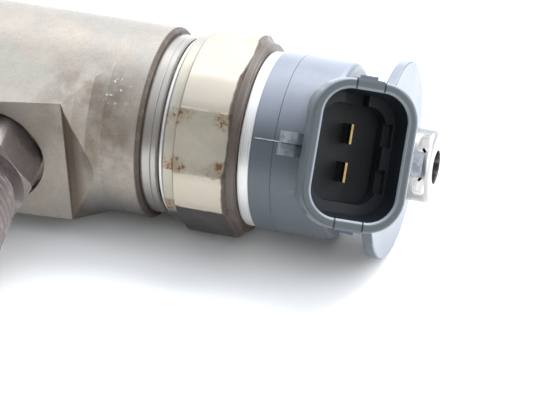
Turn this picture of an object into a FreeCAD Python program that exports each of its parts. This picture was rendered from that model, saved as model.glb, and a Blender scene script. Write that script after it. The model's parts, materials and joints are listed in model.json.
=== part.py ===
import FreeCAD, Part
import math
import os

# A solenoid common-rail fuel injector, lying on its side. Millimetres and degrees.
# +X runs along the injector's axis from the nozzle to the return union and +Z is up. The origin is
# on the axis, in the face of the copper washer that seals against the cylinder head.
# A clock angle turns about the axis from straight up towards the front, which is -Y.

ORIGIN = FreeCAD.Vector(0, 0, 0)
ALONG = FreeCAD.Vector(1, 0, 0)
ACROSS = FreeCAD.Vector(0, 1, 0)
UP = FreeCAD.Vector(0, 0, 1)

# Clock angles of what points away from the axis
CONNECTOR_CLOCK = 51.5
INLET_CLOCK = 90
LEAK_CLOCK = 270

# Clearances
RUNNING_PLAY = 0.015        # radial play of a lapped guide
ASSEMBLY_PLAY = 0.02        # radial play between threaded, nested or dowelled pieces
SEAT_PLAY = 0.005           # film between a valve and its seat
OVERCUT = 1                 # how far a cutting shape runs past the metal it cuts

# Nozzle
NOZZLE_TIP_X = -19
NOZZLE_CONE_X = -14.6
NOZZLE_DOME_RADIUS = 1.5
NOZZLE_SHANK_RADIUS = 3.5
NOZZLE_RELIEF_X = -0.4      # the shank is a little thinner from here to the shoulder
NOZZLE_RELIEF_RADIUS = 3.3
NOZZLE_SHOULDER_X = 5
NOZZLE_TOP_X = 25
NOZZLE_RADIUS = 7.15
NEEDLE_GUIDE_RADIUS = 2
NEEDLE_GUIDE_X = 13
NEEDLE_STEM_RADIUS = 1.25
NEEDLE_TOP_X = 25.3
PRESSURE_CHAMBER_RADIUS = 3.1
PRESSURE_CHAMBER_X = (8, NEEDLE_GUIDE_X)
NOZZLE_BORE_RADIUS = 1.75
SEAT_X = -14.5              # where the needle bore turns into the seat
SEAT_HALF_ANGLE = 30
SAC_RADIUS = 0.5
SAC_DEPTH = 1
SPRAY_HOLES = 7
SPRAY_HOLE_RADIUS = 0.08
SPRAY_HOLE_X = -17
SPRAY_HALF_ANGLE = 73

# Nozzle retaining nut, washer and dowels
WASHER_THICKNESS = 2
WASHER_RADII = (3.75, 7.5)
RETAINING_NUT_RADIUS = 8.5
RETAINING_NUT_END_X = 36
RETAINING_NUT_HOLE_RADIUS = 3.65
RETAINING_NUT_FLAT_X = (12, 24)
RETAINING_NUT_ACROSS_FLATS = 16.2
LOWER_THREAD_RADIUS = 7.5
DOWEL_RADIUS = 0.75
DOWEL_OFFSET = 5.3
DOWEL_X = (22.8, 27.2)
DOWEL_CLOCKS = (INLET_CLOCK + 120, INLET_CLOCK - 120)

# Injector body
SHANK_RADIUS = 8.5
SHANK_END_X = 72
HEAD_START_X = 78
HEAD_RADIUS = 14.5
HEAD_END_X = 126.3
HEAD_CHAMFER = 0.45
COLLAR_END_X = 128.85
COLLAR_RADIUS = 13.5
COLLAR_LINE_X = 127.8
COLLAR_LINE_DEPTH = 0.12
UPPER_THREAD_RADIUS = 12.5
BODY_TOP_X = 136.6
CLAMP_SLOT_X = (80, 90)
CLAMP_SLOT_HALF_WIDTH = 11.5
BOSS_START_X = 91
BOSS_FLAT_OFFSET = 15.15    # from the injector's axis to the milled flat, along the inlet's axis
BOSS_HALF_WIDTH = 10.2
BOSS_FLAT_END_X = 114.6
BOSS_BEVEL = ((116.2, 16), (118.2, 14.9), (120.4, HEAD_RADIUS))    # x and radius, from its start outwards
BOSS_BEVEL_START_X = 113.2
BOSS_LOWER_BEVEL = 2.8
MILL_RUN_OUT = ((0.8, 40), (1.2, 28), (15, 18))    # lengths and their slopes in degrees
BOSS_CORNER_RADIUS = math.hypot(BOSS_FLAT_OFFSET, BOSS_HALF_WIDTH)

# Bores of the injector body
SPRING_CHAMBER_RADIUS = 3.4
SPRING_CHAMBER_END_X = 52
PISTON_BORE_RADIUS = 2.6
GALLERY_X = 96
GALLERY_RADIUS = 5.3
VALVE_SEAT_X = 108
VALVE_FLANGE_RADIUS = 8.7
VALVE_TOP_X = 112
CLAMP_THREAD_RADIUS = 9
CAVITY_X = 118
CAVITY_RADIUS = 11
FEED_OFFSET = 5.2
FEED_RADIUS = 0.9
LEAK_RADIUS = 0.7
LEAK_OFFSETS = (2.4, 10)
LEAK_X = (60, 95)

# Spring and piston above the nozzle
PRESSURE_PIN_FLANGE_RADIUS = 3.1
PRESSURE_PIN_FLANGE_THICKNESS = 2.2
PRESSURE_PIN_TOP_X = 33
PRESSURE_PIN_RADIUS = 1.9
SPRING_SHIM_THICKNESS = 1.2
SPRING_SHIM_RADII = (2.2, 3.3)
NOZZLE_SPRING_RADIUS = 2.7
NOZZLE_SPRING_WIRE_RADIUS = 0.42
NOZZLE_SPRING_TURNS = 9
PISTON_RADIUS = 2
PISTON_GUIDE_RADIUS = 2.15
PISTON_GUIDE_X = 97.5
PISTON_TOP_X = 106.8

# Control valve
VALVE_STEM_RADIUS = 5
VALVE_STEM_X = 97.2
VALVE_SEAL_INNER_RADIUS = 2.7
CONTROL_CHAMBER_END_X = 108.2
THROTTLE_RADIUS = 0.15
INLET_THROTTLE_X = 107.5
OUTLET_BORE_RADIUS = 0.35
OUTLET_BORE_X = 110
BALL_RADIUS = 0.675
BALL_SEAT_HALF_ANGLE = 45
BALL_SEAT_APEX_X = 111
BALL_HOLDER_X = (112.2, 113.4)
BALL_HOLDER_RADIUS = 1.9
CLAMP_SCREW_END_X = 117.6
CLAMP_SCREW_INNER_RADIUS = 5
TOOL_SLOTS = 4
TOOL_SLOT_WIDTH = 2.2
TOOL_SLOT_DEPTH = 1.2

# Armature and its guide
LIFT_SHIM_THICKNESS = 0.6
SHIM_INNER_RADIUS = 9.2
GUIDE_START_X = 114
GUIDE_FLANGE_THICKNESS = 1.8
GUIDE_HUB_RADIUS = 3.2
GUIDE_PORTS = 4
GUIDE_PORT_RADIUS = 1.2
GUIDE_PORT_OFFSET = 6.5
GUIDE_RING_THICKNESS = 3
GUIDE_RING_INNER_RADIUS = 9.3
BOLT_RADIUS = 1.5
BOLT_NECK_RADIUS = 1.1
BOLT_TOP_X = 127
PLATE_TOP_X = 125.55
PLATE_THICKNESS = 1.75
PLATE_RADIUS = 8.8
PLATE_HUB_RADIUS = 2.9
PLATE_HUB_X = 122.6
PLATE_SLOTS = 3
PLATE_SLOT_WIDTH = 1.2
PLATE_SLOT_START = 4.2
RETAINER_THICKNESS = 0.6
RETAINER_RADIUS = 2.6
DAMPING_SPRING_RADIUS = 2.2
DAMPING_SPRING_WIRE_RADIUS = 0.22
DAMPING_SPRING_TURNS = 3
VALVE_SPRING_RADIUS = 2.05
VALVE_SPRING_WIRE_RADIUS = 0.4
VALVE_SPRING_TURNS = 6
VALVE_SPRING_SHIM_X = (135.7, 136.5)
VALVE_SPRING_SHIM_RADII = (1, 2.8)

# Solenoid
CORE_X = (125.75, 137.6)
CORE_RADIUS = 10.2
CORE_BORE_RADIUS = 2.9
RETURN_BORE_RADIUS = 1.6
COIL_GROOVE_RADII = (5, 8)
COIL_GROOVE_END_X = 132.75
COIL_X = (126, 132.6)
BOBBIN_WALL = 0.5
SLEEVE_START_X = 126
SLEEVE_INNER_RADIUS = CORE_RADIUS + ASSEMBLY_PLAY
SLEEVE_OUTER_RADIUS = 10.9
SLEEVE_FLANGE_X = (137, 138)
SLEEVE_FLANGE_RADIUS = 12.3
SLEEVE_NECK_RADIUS = 11.85
SLEEVE_END_X = 144.5
SLEEVE_SEAL_X = 133
SLEEVE_SEAL_WIRE_RADIUS = 0.5
AIR_GAP_SHIM_INNER_RADIUS = 11.1

# Solenoid nut and the rings beside it
NUT_X = (129.9, 140.9)
NUT_COLLAR_X = (131.6, 139.8)   # inner ends of its two round collars
NUT_FULL_X = (132, 139.4)       # where its corners are full
NUT_ACROSS_FLATS = 29
NUT_CORNER_RADIUS = 15.3
NUT_COLLAR_RADIUS = 14.3
NUT_COLLAR_CHAMFER = 0.2
NUT_HOLE_RADIUS = 12
GAP_RING_X = (129.15, 129.65)
GAP_RING_RADIUS = 13.35
SLEEVE_RING_X = (140.95, 142.8)
SLEEVE_RING_RADIUS = 13.1

# Connector housing
SKIRT_X = (142.8, 154.1)
SKIRT_RADIUS = 13.35
SKIRT_FILLET = 1.2
SKIRT_LINE_X = 146.1
SKIRT_LINE_DEPTH = 0.06
NECK_RADIUS = 9
DISC_X = (160.1, 161.7)
DISC_RADIUS = 14.7
DISC_ROUNDING = 0.25
SHROUD_TILT = 25            # of the connector's axis from radial, towards the return union
SHROUD_RIM_X = 161.85
SHROUD_RIM_OFFSET = 27      # from the injector's axis to the middle of the rim
SHROUD_SIZE = (14.8, 20.7)
SHROUD_CORNER = 5.3
SHROUD_BAND_DEPTH = 3.6     # of the thicker band below the rim
SHROUD_SECTIONS = (         # z, half width, half length and corner radius below the band
    (-SHROUD_BAND_DEPTH, 7.05, 10, 5),
    (-7.3, 6.75, 9.75, 4.7),
    (-12.5, 5.45, 9.3, 3.8),
    (-20, 4.3, 9, 3),
)
RIM_ROUNDING = 0.45
RIM_LIP = 0.25
SOCKET_DEPTH = 12.5
LEDGE_DEPTH = 7.3
MOUTH_HALF_SIZE = (5.95, 8.9)
MOUTH_DRAFT = 0.54          # by which each end wall leans in at the ledge
MOUTH_CORNER = 3.85
DEEP_SIZE = (9.2, 13.8)
DEEP_CORNER = 2.6
LEDGE_GAP_Y = (1.6, 4.9)    # from the socket's middle plane
LEDGE_GAP_HALF_WIDTH = 5.6
LEDGE_GAP_DEPTH = 9
KEY_SLOT_HALF_WIDTH = 1.7
KEY_SLOT_DEPTH = 11
LUG_REACH = 2.6
LUG_HALF_WIDTH = 1.7
LUG_Z = (-7.2, -4.6)
LUG_STEP = 1                # between the two halves of the lug on the nozzle's side
LUG_GROOVE = 0.15
END_RIB_WIDTH = 3.7
END_RIB_HEIGHT = 0.12
END_NOTCH_WIDTH = 0.25
END_NOTCH_DEPTH = 0.3
END_NUB_SIZE = (2, 0.6, 2.6)
END_NUB_DEPTH = 0.7

# Terminals
BLADE_WIDTH = 2.8
BLADE_THICKNESS = 0.7
BLADE_PITCH = 5.4
BLADE_TIP_DEPTH = 7.5
BLADE_TIP_TAPER = 0.9
BLADE_TIP_THICKNESS = 0.3
BLADE_ROOT_DEPTH = 15.5
LEAD_OFFSET = 6.5           # from the injector's axis to each coil lead
LEAD_SIZE = 1.2
LEAD_END_X = COIL_X[1] + BOBBIN_WALL
LEAD_HOLE_RADIUS = 1.3

# Return union
UNION_START_X = CORE_X[1]
UNION_END_X = 167.4
UNION_EDGE = 0.8
UNION_RADIUS = 5.45
UNION_STEM_RADIUS = 4
UNION_BORE_RADIUS = 2.5
UNION_BORE_X = 150
UNION_ANCHOR_X = (147, 149)
UNION_ANCHOR_RADIUS = 5.6
CLIP_SLOT_X = 166.05
CLIP_SLOT_OFFSET = 3.1
CLIP_SLOT_WIDTH = 1.7
CLIP_SLOT_HEIGHT = 2.7

# High-pressure inlet
INLET_X = 100.4             # where the inlet's axis crosses the injector's
INLET_TILT = 8              # of the inlet's axis from radial, towards the return union
RECESS_RADIUS = 8.8
RECESS_DEPTH = 1.5
INLET_SPIGOT_RADIUS = 4.8
INLET_SPIGOT_OFFSET = 6.6   # from the injector's axis to the spigot's end
INLET_HEX_ACROSS_FLATS = 15
INLET_HEX_RADIUS = 8.4
INLET_HEX_OFFSET = 21.8     # from the injector's axis to the hexagon's end
INLET_HEX_CHAMFER = 1
INLET_THREAD_RADIUS = 7
INLET_THREAD_RELIEF = 1.5
INLET_THREAD_CHAMFER = 0.8
INLET_END_OFFSET = 34
INLET_CONE_RADIUS = 4.2
INLET_CONE_HALF_ANGLE = 30
INLET_BORE_RADIUS = 2
INLET_PASSAGE_RADIUS = 1.2
FILTER_LENGTH = 11
FILTER_GROOVES = 4


def spun(outline):
    """A solid turned about the injector's axis from (x, radius) points."""
    points = [FreeCAD.Vector(x, 0, radius) for x, radius in outline]
    face = Part.Face(Part.makePolygon(points + points[:1]))
    return face.revolve(ORIGIN, ALONG, 360)


def rod(start_x, end_x, radius):
    return Part.makeCylinder(radius, end_x - start_x, FreeCAD.Vector(start_x, 0, 0), ALONG)


def ring(start_x, end_x, inner_radius, outer_radius, chamfer=0):
    """A ring about the axis with its two outer edges chamfered."""
    shoulder = outer_radius - chamfer
    return spun([
        (start_x, inner_radius),
        (start_x, shoulder),
        (start_x + chamfer, outer_radius),
        (end_x - chamfer, outer_radius),
        (end_x, shoulder),
        (end_x, inner_radius),
    ]) if chamfer else rod(start_x, end_x, outer_radius).cut(rod(start_x, end_x, inner_radius))


def hoop(centre_x, centre_radius, wire_radius):
    """A ring of round section, such as a seal ring."""
    return Part.makeTorus(centre_radius, wire_radius, FreeCAD.Vector(centre_x, 0, 0), ALONG)


def clocked(shape, clock):
    """The shape, built pointing up, turned to a clock angle."""
    turned = shape.copy()
    turned.rotate(ORIGIN, ALONG, clock)
    return turned


def block(x_span, y_span, z_span):
    corner = FreeCAD.Vector(x_span[0], y_span[0], z_span[0])
    return Part.makeBox(
        x_span[1] - x_span[0],
        y_span[1] - y_span[0],
        z_span[1] - z_span[0],
        corner,
    )


def upright(start_z, end_z, radius, centre=ORIGIN):
    """A cylinder that stands up from a point."""
    return Part.makeCylinder(radius, end_z - start_z, centre + UP * start_z, UP)


def hexagon(across_flats, start, end, axis):
    """A hexagonal bar along an axis, with a flat towards +Z or, when it stands up, towards +X."""
    corner_radius = across_flats / 2 / math.cos(math.radians(30))
    side = UP if axis == ALONG else ALONG
    other = axis.cross(side)
    points = []
    for number in range(7):
        angle = math.radians(30 + 60 * number)
        points.append(
            axis * start
            + side * corner_radius * math.cos(angle)
            + other * corner_radius * math.sin(angle)
        )
    return Part.Face(Part.makePolygon(points)).extrude(axis * (end - start))


def coil_spring(start_x, end_x, coil_radius, wire_radius, turns):
    """A compression spring with its ends ground flat."""
    length = end_x - start_x
    pitch = length / turns
    path = Part.makeHelix(pitch, length, coil_radius)
    section = Part.Wire(Part.makeCircle(wire_radius, FreeCAD.Vector(coil_radius, 0, 0), ACROSS))
    spring = Part.Wire(path).makePipeShell([section], True, True)
    spring.rotate(ORIGIN, ACROSS, 90)
    spring.translate(FreeCAD.Vector(start_x, 0, 0))
    outer = coil_radius + 2 * wire_radius
    return spring.common(rod(start_x, end_x, outer))


def repeated(shape, count, first_clock=0):
    """Copies of a shape spaced evenly about the axis."""
    return [clocked(shape, first_clock + 360 * number / count) for number in range(count)]


def nozzle_body():
    dome_x = NOZZLE_TIP_X + NOZZLE_DOME_RADIUS
    taper = 0.6
    outside = spun([
        (dome_x, 0),
        (dome_x, NOZZLE_DOME_RADIUS),
        (NOZZLE_CONE_X, NOZZLE_SHANK_RADIUS),
        (NOZZLE_RELIEF_X, NOZZLE_SHANK_RADIUS),
        (NOZZLE_RELIEF_X, NOZZLE_RELIEF_RADIUS),
        (NOZZLE_SHOULDER_X, NOZZLE_RELIEF_RADIUS),
        (NOZZLE_SHOULDER_X, NOZZLE_RADIUS - taper),
        (NOZZLE_SHOULDER_X + taper, NOZZLE_RADIUS),
        (NOZZLE_TOP_X - taper, NOZZLE_RADIUS),
        (NOZZLE_TOP_X, NOZZLE_RADIUS - taper),
        (NOZZLE_TOP_X, 0),
    ])
    dome = Part.makeSphere(NOZZLE_DOME_RADIUS, FreeCAD.Vector(dome_x, 0, 0))
    slope = math.tan(math.radians(SEAT_HALF_ANGLE))
    sac_x = SEAT_X - (NOZZLE_BORE_RADIUS - SAC_RADIUS) / slope
    chamber_start, chamber_end = PRESSURE_CHAMBER_X
    chamber_slope = PRESSURE_CHAMBER_RADIUS - NEEDLE_GUIDE_RADIUS
    inside = spun([
        (sac_x - SAC_DEPTH, 0),
        (sac_x - SAC_DEPTH, SAC_RADIUS / 2),
        (sac_x - SAC_DEPTH + SAC_RADIUS / 2, SAC_RADIUS),
        (sac_x, SAC_RADIUS),
        (SEAT_X, NOZZLE_BORE_RADIUS),
        (chamber_start - chamber_slope, NOZZLE_BORE_RADIUS),
        (chamber_start, PRESSURE_CHAMBER_RADIUS),
        (chamber_end - chamber_slope, PRESSURE_CHAMBER_RADIUS),
        (chamber_end, NEEDLE_GUIDE_RADIUS),
        (NOZZLE_TOP_X + OVERCUT, NEEDLE_GUIDE_RADIUS),
        (NOZZLE_TOP_X + OVERCUT, 0),
    ])
    top = FreeCAD.Vector(NOZZLE_TOP_X, 0, FEED_OFFSET)
    chamber = FreeCAD.Vector(chamber_start + chamber_slope, 0, PRESSURE_CHAMBER_RADIUS - FEED_RADIUS)
    run = chamber - top
    feed = Part.makeCylinder(FEED_RADIUS, run.Length + OVERCUT, top - run.normalize() * OVERCUT, run)
    spray = Part.makeCylinder(SPRAY_HOLE_RADIUS, NOZZLE_SHANK_RADIUS, ORIGIN, ALONG)
    spray.rotate(ORIGIN, ACROSS, -(180 - SPRAY_HALF_ANGLE))
    spray.translate(FreeCAD.Vector(SPRAY_HOLE_X, 0, 0))
    cutters = [inside, clocked(feed, INLET_CLOCK)]
    cutters += repeated(spray, SPRAY_HOLES)
    cutters += dowel_shapes(DOWEL_RADIUS + ASSEMBLY_PLAY)
    return outside.fuse(dome).cut(cutters)


def nozzle_needle():
    slope = math.tan(math.radians(SEAT_HALF_ANGLE))
    apex_x = SEAT_X - NOZZLE_BORE_RADIUS / slope + 2 * SEAT_PLAY / slope
    tip_radius = SAC_RADIUS * 0.6
    guide_radius = NEEDLE_GUIDE_RADIUS - RUNNING_PLAY
    shoulder = guide_radius - NEEDLE_STEM_RADIUS
    edge = 0.2
    return spun([
        (apex_x + tip_radius / slope, 0),
        (apex_x + tip_radius / slope, tip_radius),
        (apex_x + NEEDLE_STEM_RADIUS / slope, NEEDLE_STEM_RADIUS),
        (NEEDLE_GUIDE_X - shoulder, NEEDLE_STEM_RADIUS),
        (NEEDLE_GUIDE_X, guide_radius),
        (NEEDLE_TOP_X - edge, guide_radius),
        (NEEDLE_TOP_X, guide_radius - edge),
        (NEEDLE_TOP_X, 0),
    ])


def pressure_pin():
    flange_x = NEEDLE_TOP_X + PRESSURE_PIN_FLANGE_THICKNESS
    edge = 0.3
    return spun([
        (NEEDLE_TOP_X, 0),
        (NEEDLE_TOP_X, PRESSURE_PIN_FLANGE_RADIUS - edge),
        (NEEDLE_TOP_X + edge, PRESSURE_PIN_FLANGE_RADIUS),
        (flange_x, PRESSURE_PIN_FLANGE_RADIUS),
        (flange_x, PRESSURE_PIN_RADIUS),
        (PRESSURE_PIN_TOP_X, PRESSURE_PIN_RADIUS),
        (PRESSURE_PIN_TOP_X, 0),
    ])


def control_piston():
    edge = 0.2
    guide_radius = PISTON_GUIDE_RADIUS - RUNNING_PLAY
    return spun([
        (PRESSURE_PIN_TOP_X, 0),
        (PRESSURE_PIN_TOP_X, PISTON_RADIUS - edge),
        (PRESSURE_PIN_TOP_X + edge, PISTON_RADIUS),
        (PISTON_GUIDE_X - edge, PISTON_RADIUS),
        (PISTON_GUIDE_X, guide_radius),
        (PISTON_TOP_X - edge, guide_radius),
        (PISTON_TOP_X, guide_radius - edge),
        (PISTON_TOP_X, 0),
    ])


def nozzle_spring():
    start_x = NEEDLE_TOP_X + PRESSURE_PIN_FLANGE_THICKNESS
    end_x = SPRING_CHAMBER_END_X - SPRING_SHIM_THICKNESS
    return coil_spring(
        start_x,
        end_x,
        NOZZLE_SPRING_RADIUS,
        NOZZLE_SPRING_WIRE_RADIUS,
        NOZZLE_SPRING_TURNS,
    )


def spring_shim():
    return ring(SPRING_CHAMBER_END_X - SPRING_SHIM_THICKNESS, SPRING_CHAMBER_END_X, *SPRING_SHIM_RADII)


def dowel_shapes(radius):
    """The two pins that keep the nozzle's feed drilling in line with the body's."""
    pin = rod(*DOWEL_X, radius)
    pin.translate(UP * DOWEL_OFFSET)
    return [clocked(pin, clock) for clock in DOWEL_CLOCKS]


def nozzle_dowels():
    return Part.makeCompound(dowel_shapes(DOWEL_RADIUS))


def nozzle_retaining_nut():
    bottom_chamfer = 0.9
    top_chamfer = 0.6
    bore_radius = NOZZLE_RADIUS + ASSEMBLY_PLAY
    thread_radius = LOWER_THREAD_RADIUS + ASSEMBLY_PLAY
    nut = spun([
        (WASHER_THICKNESS, RETAINING_NUT_HOLE_RADIUS),
        (WASHER_THICKNESS, RETAINING_NUT_RADIUS - bottom_chamfer),
        (WASHER_THICKNESS + bottom_chamfer, RETAINING_NUT_RADIUS),
        (RETAINING_NUT_END_X - top_chamfer, RETAINING_NUT_RADIUS),
        (RETAINING_NUT_END_X, RETAINING_NUT_RADIUS - top_chamfer),
        (RETAINING_NUT_END_X, thread_radius),
        (NOZZLE_TOP_X, thread_radius),
        (NOZZLE_TOP_X, bore_radius),
        (NOZZLE_SHOULDER_X, bore_radius),
        (NOZZLE_SHOULDER_X, RETAINING_NUT_HOLE_RADIUS),
    ])
    band = rod(*RETAINING_NUT_FLAT_X, RETAINING_NUT_RADIUS + OVERCUT)
    flats = hexagon(RETAINING_NUT_ACROSS_FLATS, *RETAINING_NUT_FLAT_X, ALONG)
    return nut.cut(band.cut(flats))


def combustion_washer():
    return ring(0, WASHER_THICKNESS, *WASHER_RADII, chamfer=0.15)


def body_outside():
    """The forged and turned outside of the injector body, without its bores."""
    thread_chamfer = 0.7
    relief = 0.5
    turned = spun([
        (NOZZLE_TOP_X, 0),
        (NOZZLE_TOP_X, LOWER_THREAD_RADIUS - thread_chamfer),
        (NOZZLE_TOP_X + thread_chamfer, LOWER_THREAD_RADIUS),
        (RETAINING_NUT_END_X - relief, LOWER_THREAD_RADIUS),
        (RETAINING_NUT_END_X + relief, LOWER_THREAD_RADIUS - relief),
        (RETAINING_NUT_END_X + relief, SHANK_RADIUS - relief),
        (RETAINING_NUT_END_X + 2 * relief, SHANK_RADIUS),
        (SHANK_END_X, SHANK_RADIUS),
        (HEAD_START_X - relief, HEAD_RADIUS - relief),
        (HEAD_START_X, HEAD_RADIUS),
        (HEAD_END_X - HEAD_CHAMFER, HEAD_RADIUS),
        (HEAD_END_X, HEAD_RADIUS - HEAD_CHAMFER),
        (HEAD_END_X, COLLAR_RADIUS),
        (COLLAR_LINE_X - COLLAR_LINE_DEPTH, COLLAR_RADIUS),
        (COLLAR_LINE_X, COLLAR_RADIUS - COLLAR_LINE_DEPTH),
        (COLLAR_LINE_X + COLLAR_LINE_DEPTH, COLLAR_RADIUS),
        (COLLAR_END_X - relief / 2, COLLAR_RADIUS),
        (COLLAR_END_X, COLLAR_RADIUS - relief / 2),
        (COLLAR_END_X, UPPER_THREAD_RADIUS),
        (BODY_TOP_X - relief, UPPER_THREAD_RADIUS),
        (BODY_TOP_X, UPPER_THREAD_RADIUS - relief),
        (BODY_TOP_X, 0),
    ])
    return turned.fuse(inlet_boss()).cut([inlet_flat_cutter()] + clamp_slots()).removeSplitter()


def inlet_boss():
    """The wedge-sided swelling that carries the inlet's flat, bevelled towards both ends."""
    corner_clock = math.degrees(math.atan2(BOSS_HALF_WIDTH, BOSS_FLAT_OFFSET))
    tangent_clock = corner_clock + math.degrees(math.acos(HEAD_RADIUS / BOSS_CORNER_RADIUS))
    tangent = math.radians(tangent_clock)
    tangent_offset = HEAD_RADIUS * math.cos(tangent)
    tangent_width = HEAD_RADIUS * math.sin(tangent)
    narrowing = (tangent_width - BOSS_HALF_WIDTH) / (BOSS_FLAT_OFFSET - tangent_offset)
    outer_width = tangent_width - narrowing * (BOSS_CORNER_RADIUS - tangent_offset)
    lower_x = BOSS_START_X - BOSS_LOWER_BEVEL
    upper_x = BOSS_BEVEL[-1][0]
    section = [
        FreeCAD.Vector(lower_x, 0, 0),
        FreeCAD.Vector(lower_x, -tangent_width, tangent_offset),
        FreeCAD.Vector(lower_x, -outer_width, BOSS_CORNER_RADIUS),
        FreeCAD.Vector(lower_x, outer_width, BOSS_CORNER_RADIUS),
        FreeCAD.Vector(lower_x, tangent_width, tangent_offset),
    ]
    prism = Part.Face(Part.makePolygon(section + section[:1])).extrude(ALONG * (upper_x - lower_x))
    bevel = spun([
        (lower_x, 0),
        (lower_x, HEAD_RADIUS),
        (BOSS_START_X, BOSS_CORNER_RADIUS),
        (BOSS_BEVEL_START_X, BOSS_CORNER_RADIUS),
        *BOSS_BEVEL,
        (upper_x, 0),
    ])
    return clocked(prism.common(bevel), INLET_CLOCK)


def in_inlet(shape):
    """Moves a shape from the inlet's own frame, where its axis is z, into place."""
    moved = shape.copy()
    moved.rotate(ORIGIN, ACROSS, INLET_TILT)
    moved.translate(ALONG * INLET_X)
    return clocked(moved, INLET_CLOCK)


def inlet_flat_cutter():
    """What the mill takes off the boss, square to the inlet, with a sloping run-out at its upper end."""
    top = 2 * BOSS_CORNER_RADIUS - BOSS_FLAT_OFFSET + OVERCUT
    tilt = math.radians(INLET_TILT)
    flat_end = (BOSS_FLAT_END_X - INLET_X - BOSS_FLAT_OFFSET * math.sin(tilt)) / math.cos(tilt)
    points = [(-BOSS_CORNER_RADIUS, BOSS_FLAT_OFFSET), (flat_end, BOSS_FLAT_OFFSET)]
    for length, slope in MILL_RUN_OUT:
        x, z = points[-1]
        slope = math.radians(slope)
        points.append((x + length * math.cos(slope), z + length * math.sin(slope)))
    points += [(points[-1][0], top), (-BOSS_CORNER_RADIUS, top)]
    vectors = [FreeCAD.Vector(x, -BOSS_CORNER_RADIUS, z) for x, z in points]
    outline = Part.Face(Part.makePolygon(vectors + vectors[:1]))
    return in_inlet(outline.extrude(ACROSS * 2 * BOSS_CORNER_RADIUS))


def clamp_slots():
    """Two notches whose upper faces take the fingers of the clamping fork."""
    notch = block(
        CLAMP_SLOT_X,
        (-HEAD_RADIUS, HEAD_RADIUS),
        (CLAMP_SLOT_HALF_WIDTH, HEAD_RADIUS + OVERCUT),
    )
    return [notch, clocked(notch, 180)]


def body_bores():
    main_bore = spun([
        (NOZZLE_TOP_X - OVERCUT, 0),
        (NOZZLE_TOP_X - OVERCUT, SPRING_CHAMBER_RADIUS),
        (SPRING_CHAMBER_END_X, SPRING_CHAMBER_RADIUS),
        (SPRING_CHAMBER_END_X, PISTON_BORE_RADIUS),
        (GALLERY_X, PISTON_BORE_RADIUS),
        (GALLERY_X, GALLERY_RADIUS),
        (VALVE_SEAT_X, GALLERY_RADIUS),
        (VALVE_SEAT_X, VALVE_FLANGE_RADIUS),
        (VALVE_TOP_X, VALVE_FLANGE_RADIUS),
        (VALVE_TOP_X, CLAMP_THREAD_RADIUS),
        (CAVITY_X, CLAMP_THREAD_RADIUS),
        (CAVITY_X, CAVITY_RADIUS),
        (BODY_TOP_X + OVERCUT, CAVITY_RADIUS),
        (BODY_TOP_X + OVERCUT, 0),
    ])
    feed = rod(NOZZLE_TOP_X - OVERCUT, GALLERY_X + OVERCUT, FEED_RADIUS)
    feed.translate(UP * FEED_OFFSET)
    recess = upright(BOSS_FLAT_OFFSET - RECESS_DEPTH, BOSS_CORNER_RADIUS, RECESS_RADIUS)
    spigot_hole = upright(INLET_SPIGOT_OFFSET, BOSS_FLAT_OFFSET, INLET_SPIGOT_RADIUS)
    inlet_passage = upright(0, BOSS_FLAT_OFFSET, INLET_PASSAGE_RADIUS)
    inlet_side = [in_inlet(shape) for shape in (recess, spigot_hole, inlet_passage)]
    inlet_side.append(clocked(feed, INLET_CLOCK))
    low = FreeCAD.Vector(LEAK_X[0], 0, LEAK_OFFSETS[0])
    high = FreeCAD.Vector(LEAK_X[1], 0, LEAK_OFFSETS[1])
    slant = Part.makeCylinder(LEAK_RADIUS, (high - low).Length, low, high - low)
    straight = rod(LEAK_X[1] - LEAK_RADIUS, CAVITY_X + OVERCUT, LEAK_RADIUS)
    straight.translate(UP * LEAK_OFFSETS[1])
    outlet = block(
        (CAVITY_X - 2 * LEAK_RADIUS, CAVITY_X),
        (-LEAK_RADIUS, LEAK_RADIUS),
        (CLAMP_THREAD_RADIUS - OVERCUT, LEAK_OFFSETS[1] + LEAK_RADIUS),
    )
    leak_side = [clocked(shape, LEAK_CLOCK) for shape in (slant, straight, outlet)]
    dowel_holes = dowel_shapes(DOWEL_RADIUS + ASSEMBLY_PLAY)
    return [main_bore] + inlet_side + leak_side + dowel_holes


def injector_body():
    return body_outside().cut(body_bores())


def valve_piece():
    flange_radius = VALVE_FLANGE_RADIUS - ASSEMBLY_PLAY
    edge = 0.4
    outside = spun([
        (VALVE_STEM_X, 0),
        (VALVE_STEM_X, VALVE_STEM_RADIUS - edge),
        (VALVE_STEM_X + edge, VALVE_STEM_RADIUS),
        (VALVE_SEAT_X, VALVE_STEM_RADIUS),
        (VALVE_SEAT_X, flange_radius),
        (VALVE_TOP_X, flange_radius),
        (VALVE_TOP_X, 0),
    ])
    slope = math.tan(math.radians(BALL_SEAT_HALF_ANGLE))
    inside = spun([
        (VALVE_STEM_X - OVERCUT, 0),
        (VALVE_STEM_X - OVERCUT, PISTON_GUIDE_RADIUS),
        (CONTROL_CHAMBER_END_X, PISTON_GUIDE_RADIUS),
        (CONTROL_CHAMBER_END_X, THROTTLE_RADIUS),
        (OUTLET_BORE_X, THROTTLE_RADIUS),
        (OUTLET_BORE_X, OUTLET_BORE_RADIUS),
        (BALL_SEAT_APEX_X + OUTLET_BORE_RADIUS / slope, OUTLET_BORE_RADIUS),
        (VALVE_TOP_X + OVERCUT, (VALVE_TOP_X + OVERCUT - BALL_SEAT_APEX_X) * slope),
        (VALVE_TOP_X + OVERCUT, 0),
    ])
    throttle = upright(0, VALVE_STEM_RADIUS + OVERCUT, THROTTLE_RADIUS, ALONG * INLET_THROTTLE_X)
    return outside.cut([inside, throttle])


def valve_piece_seal():
    return ring(GALLERY_X, VALVE_STEM_X, VALVE_SEAL_INNER_RADIUS, GALLERY_RADIUS - ASSEMBLY_PLAY)


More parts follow.
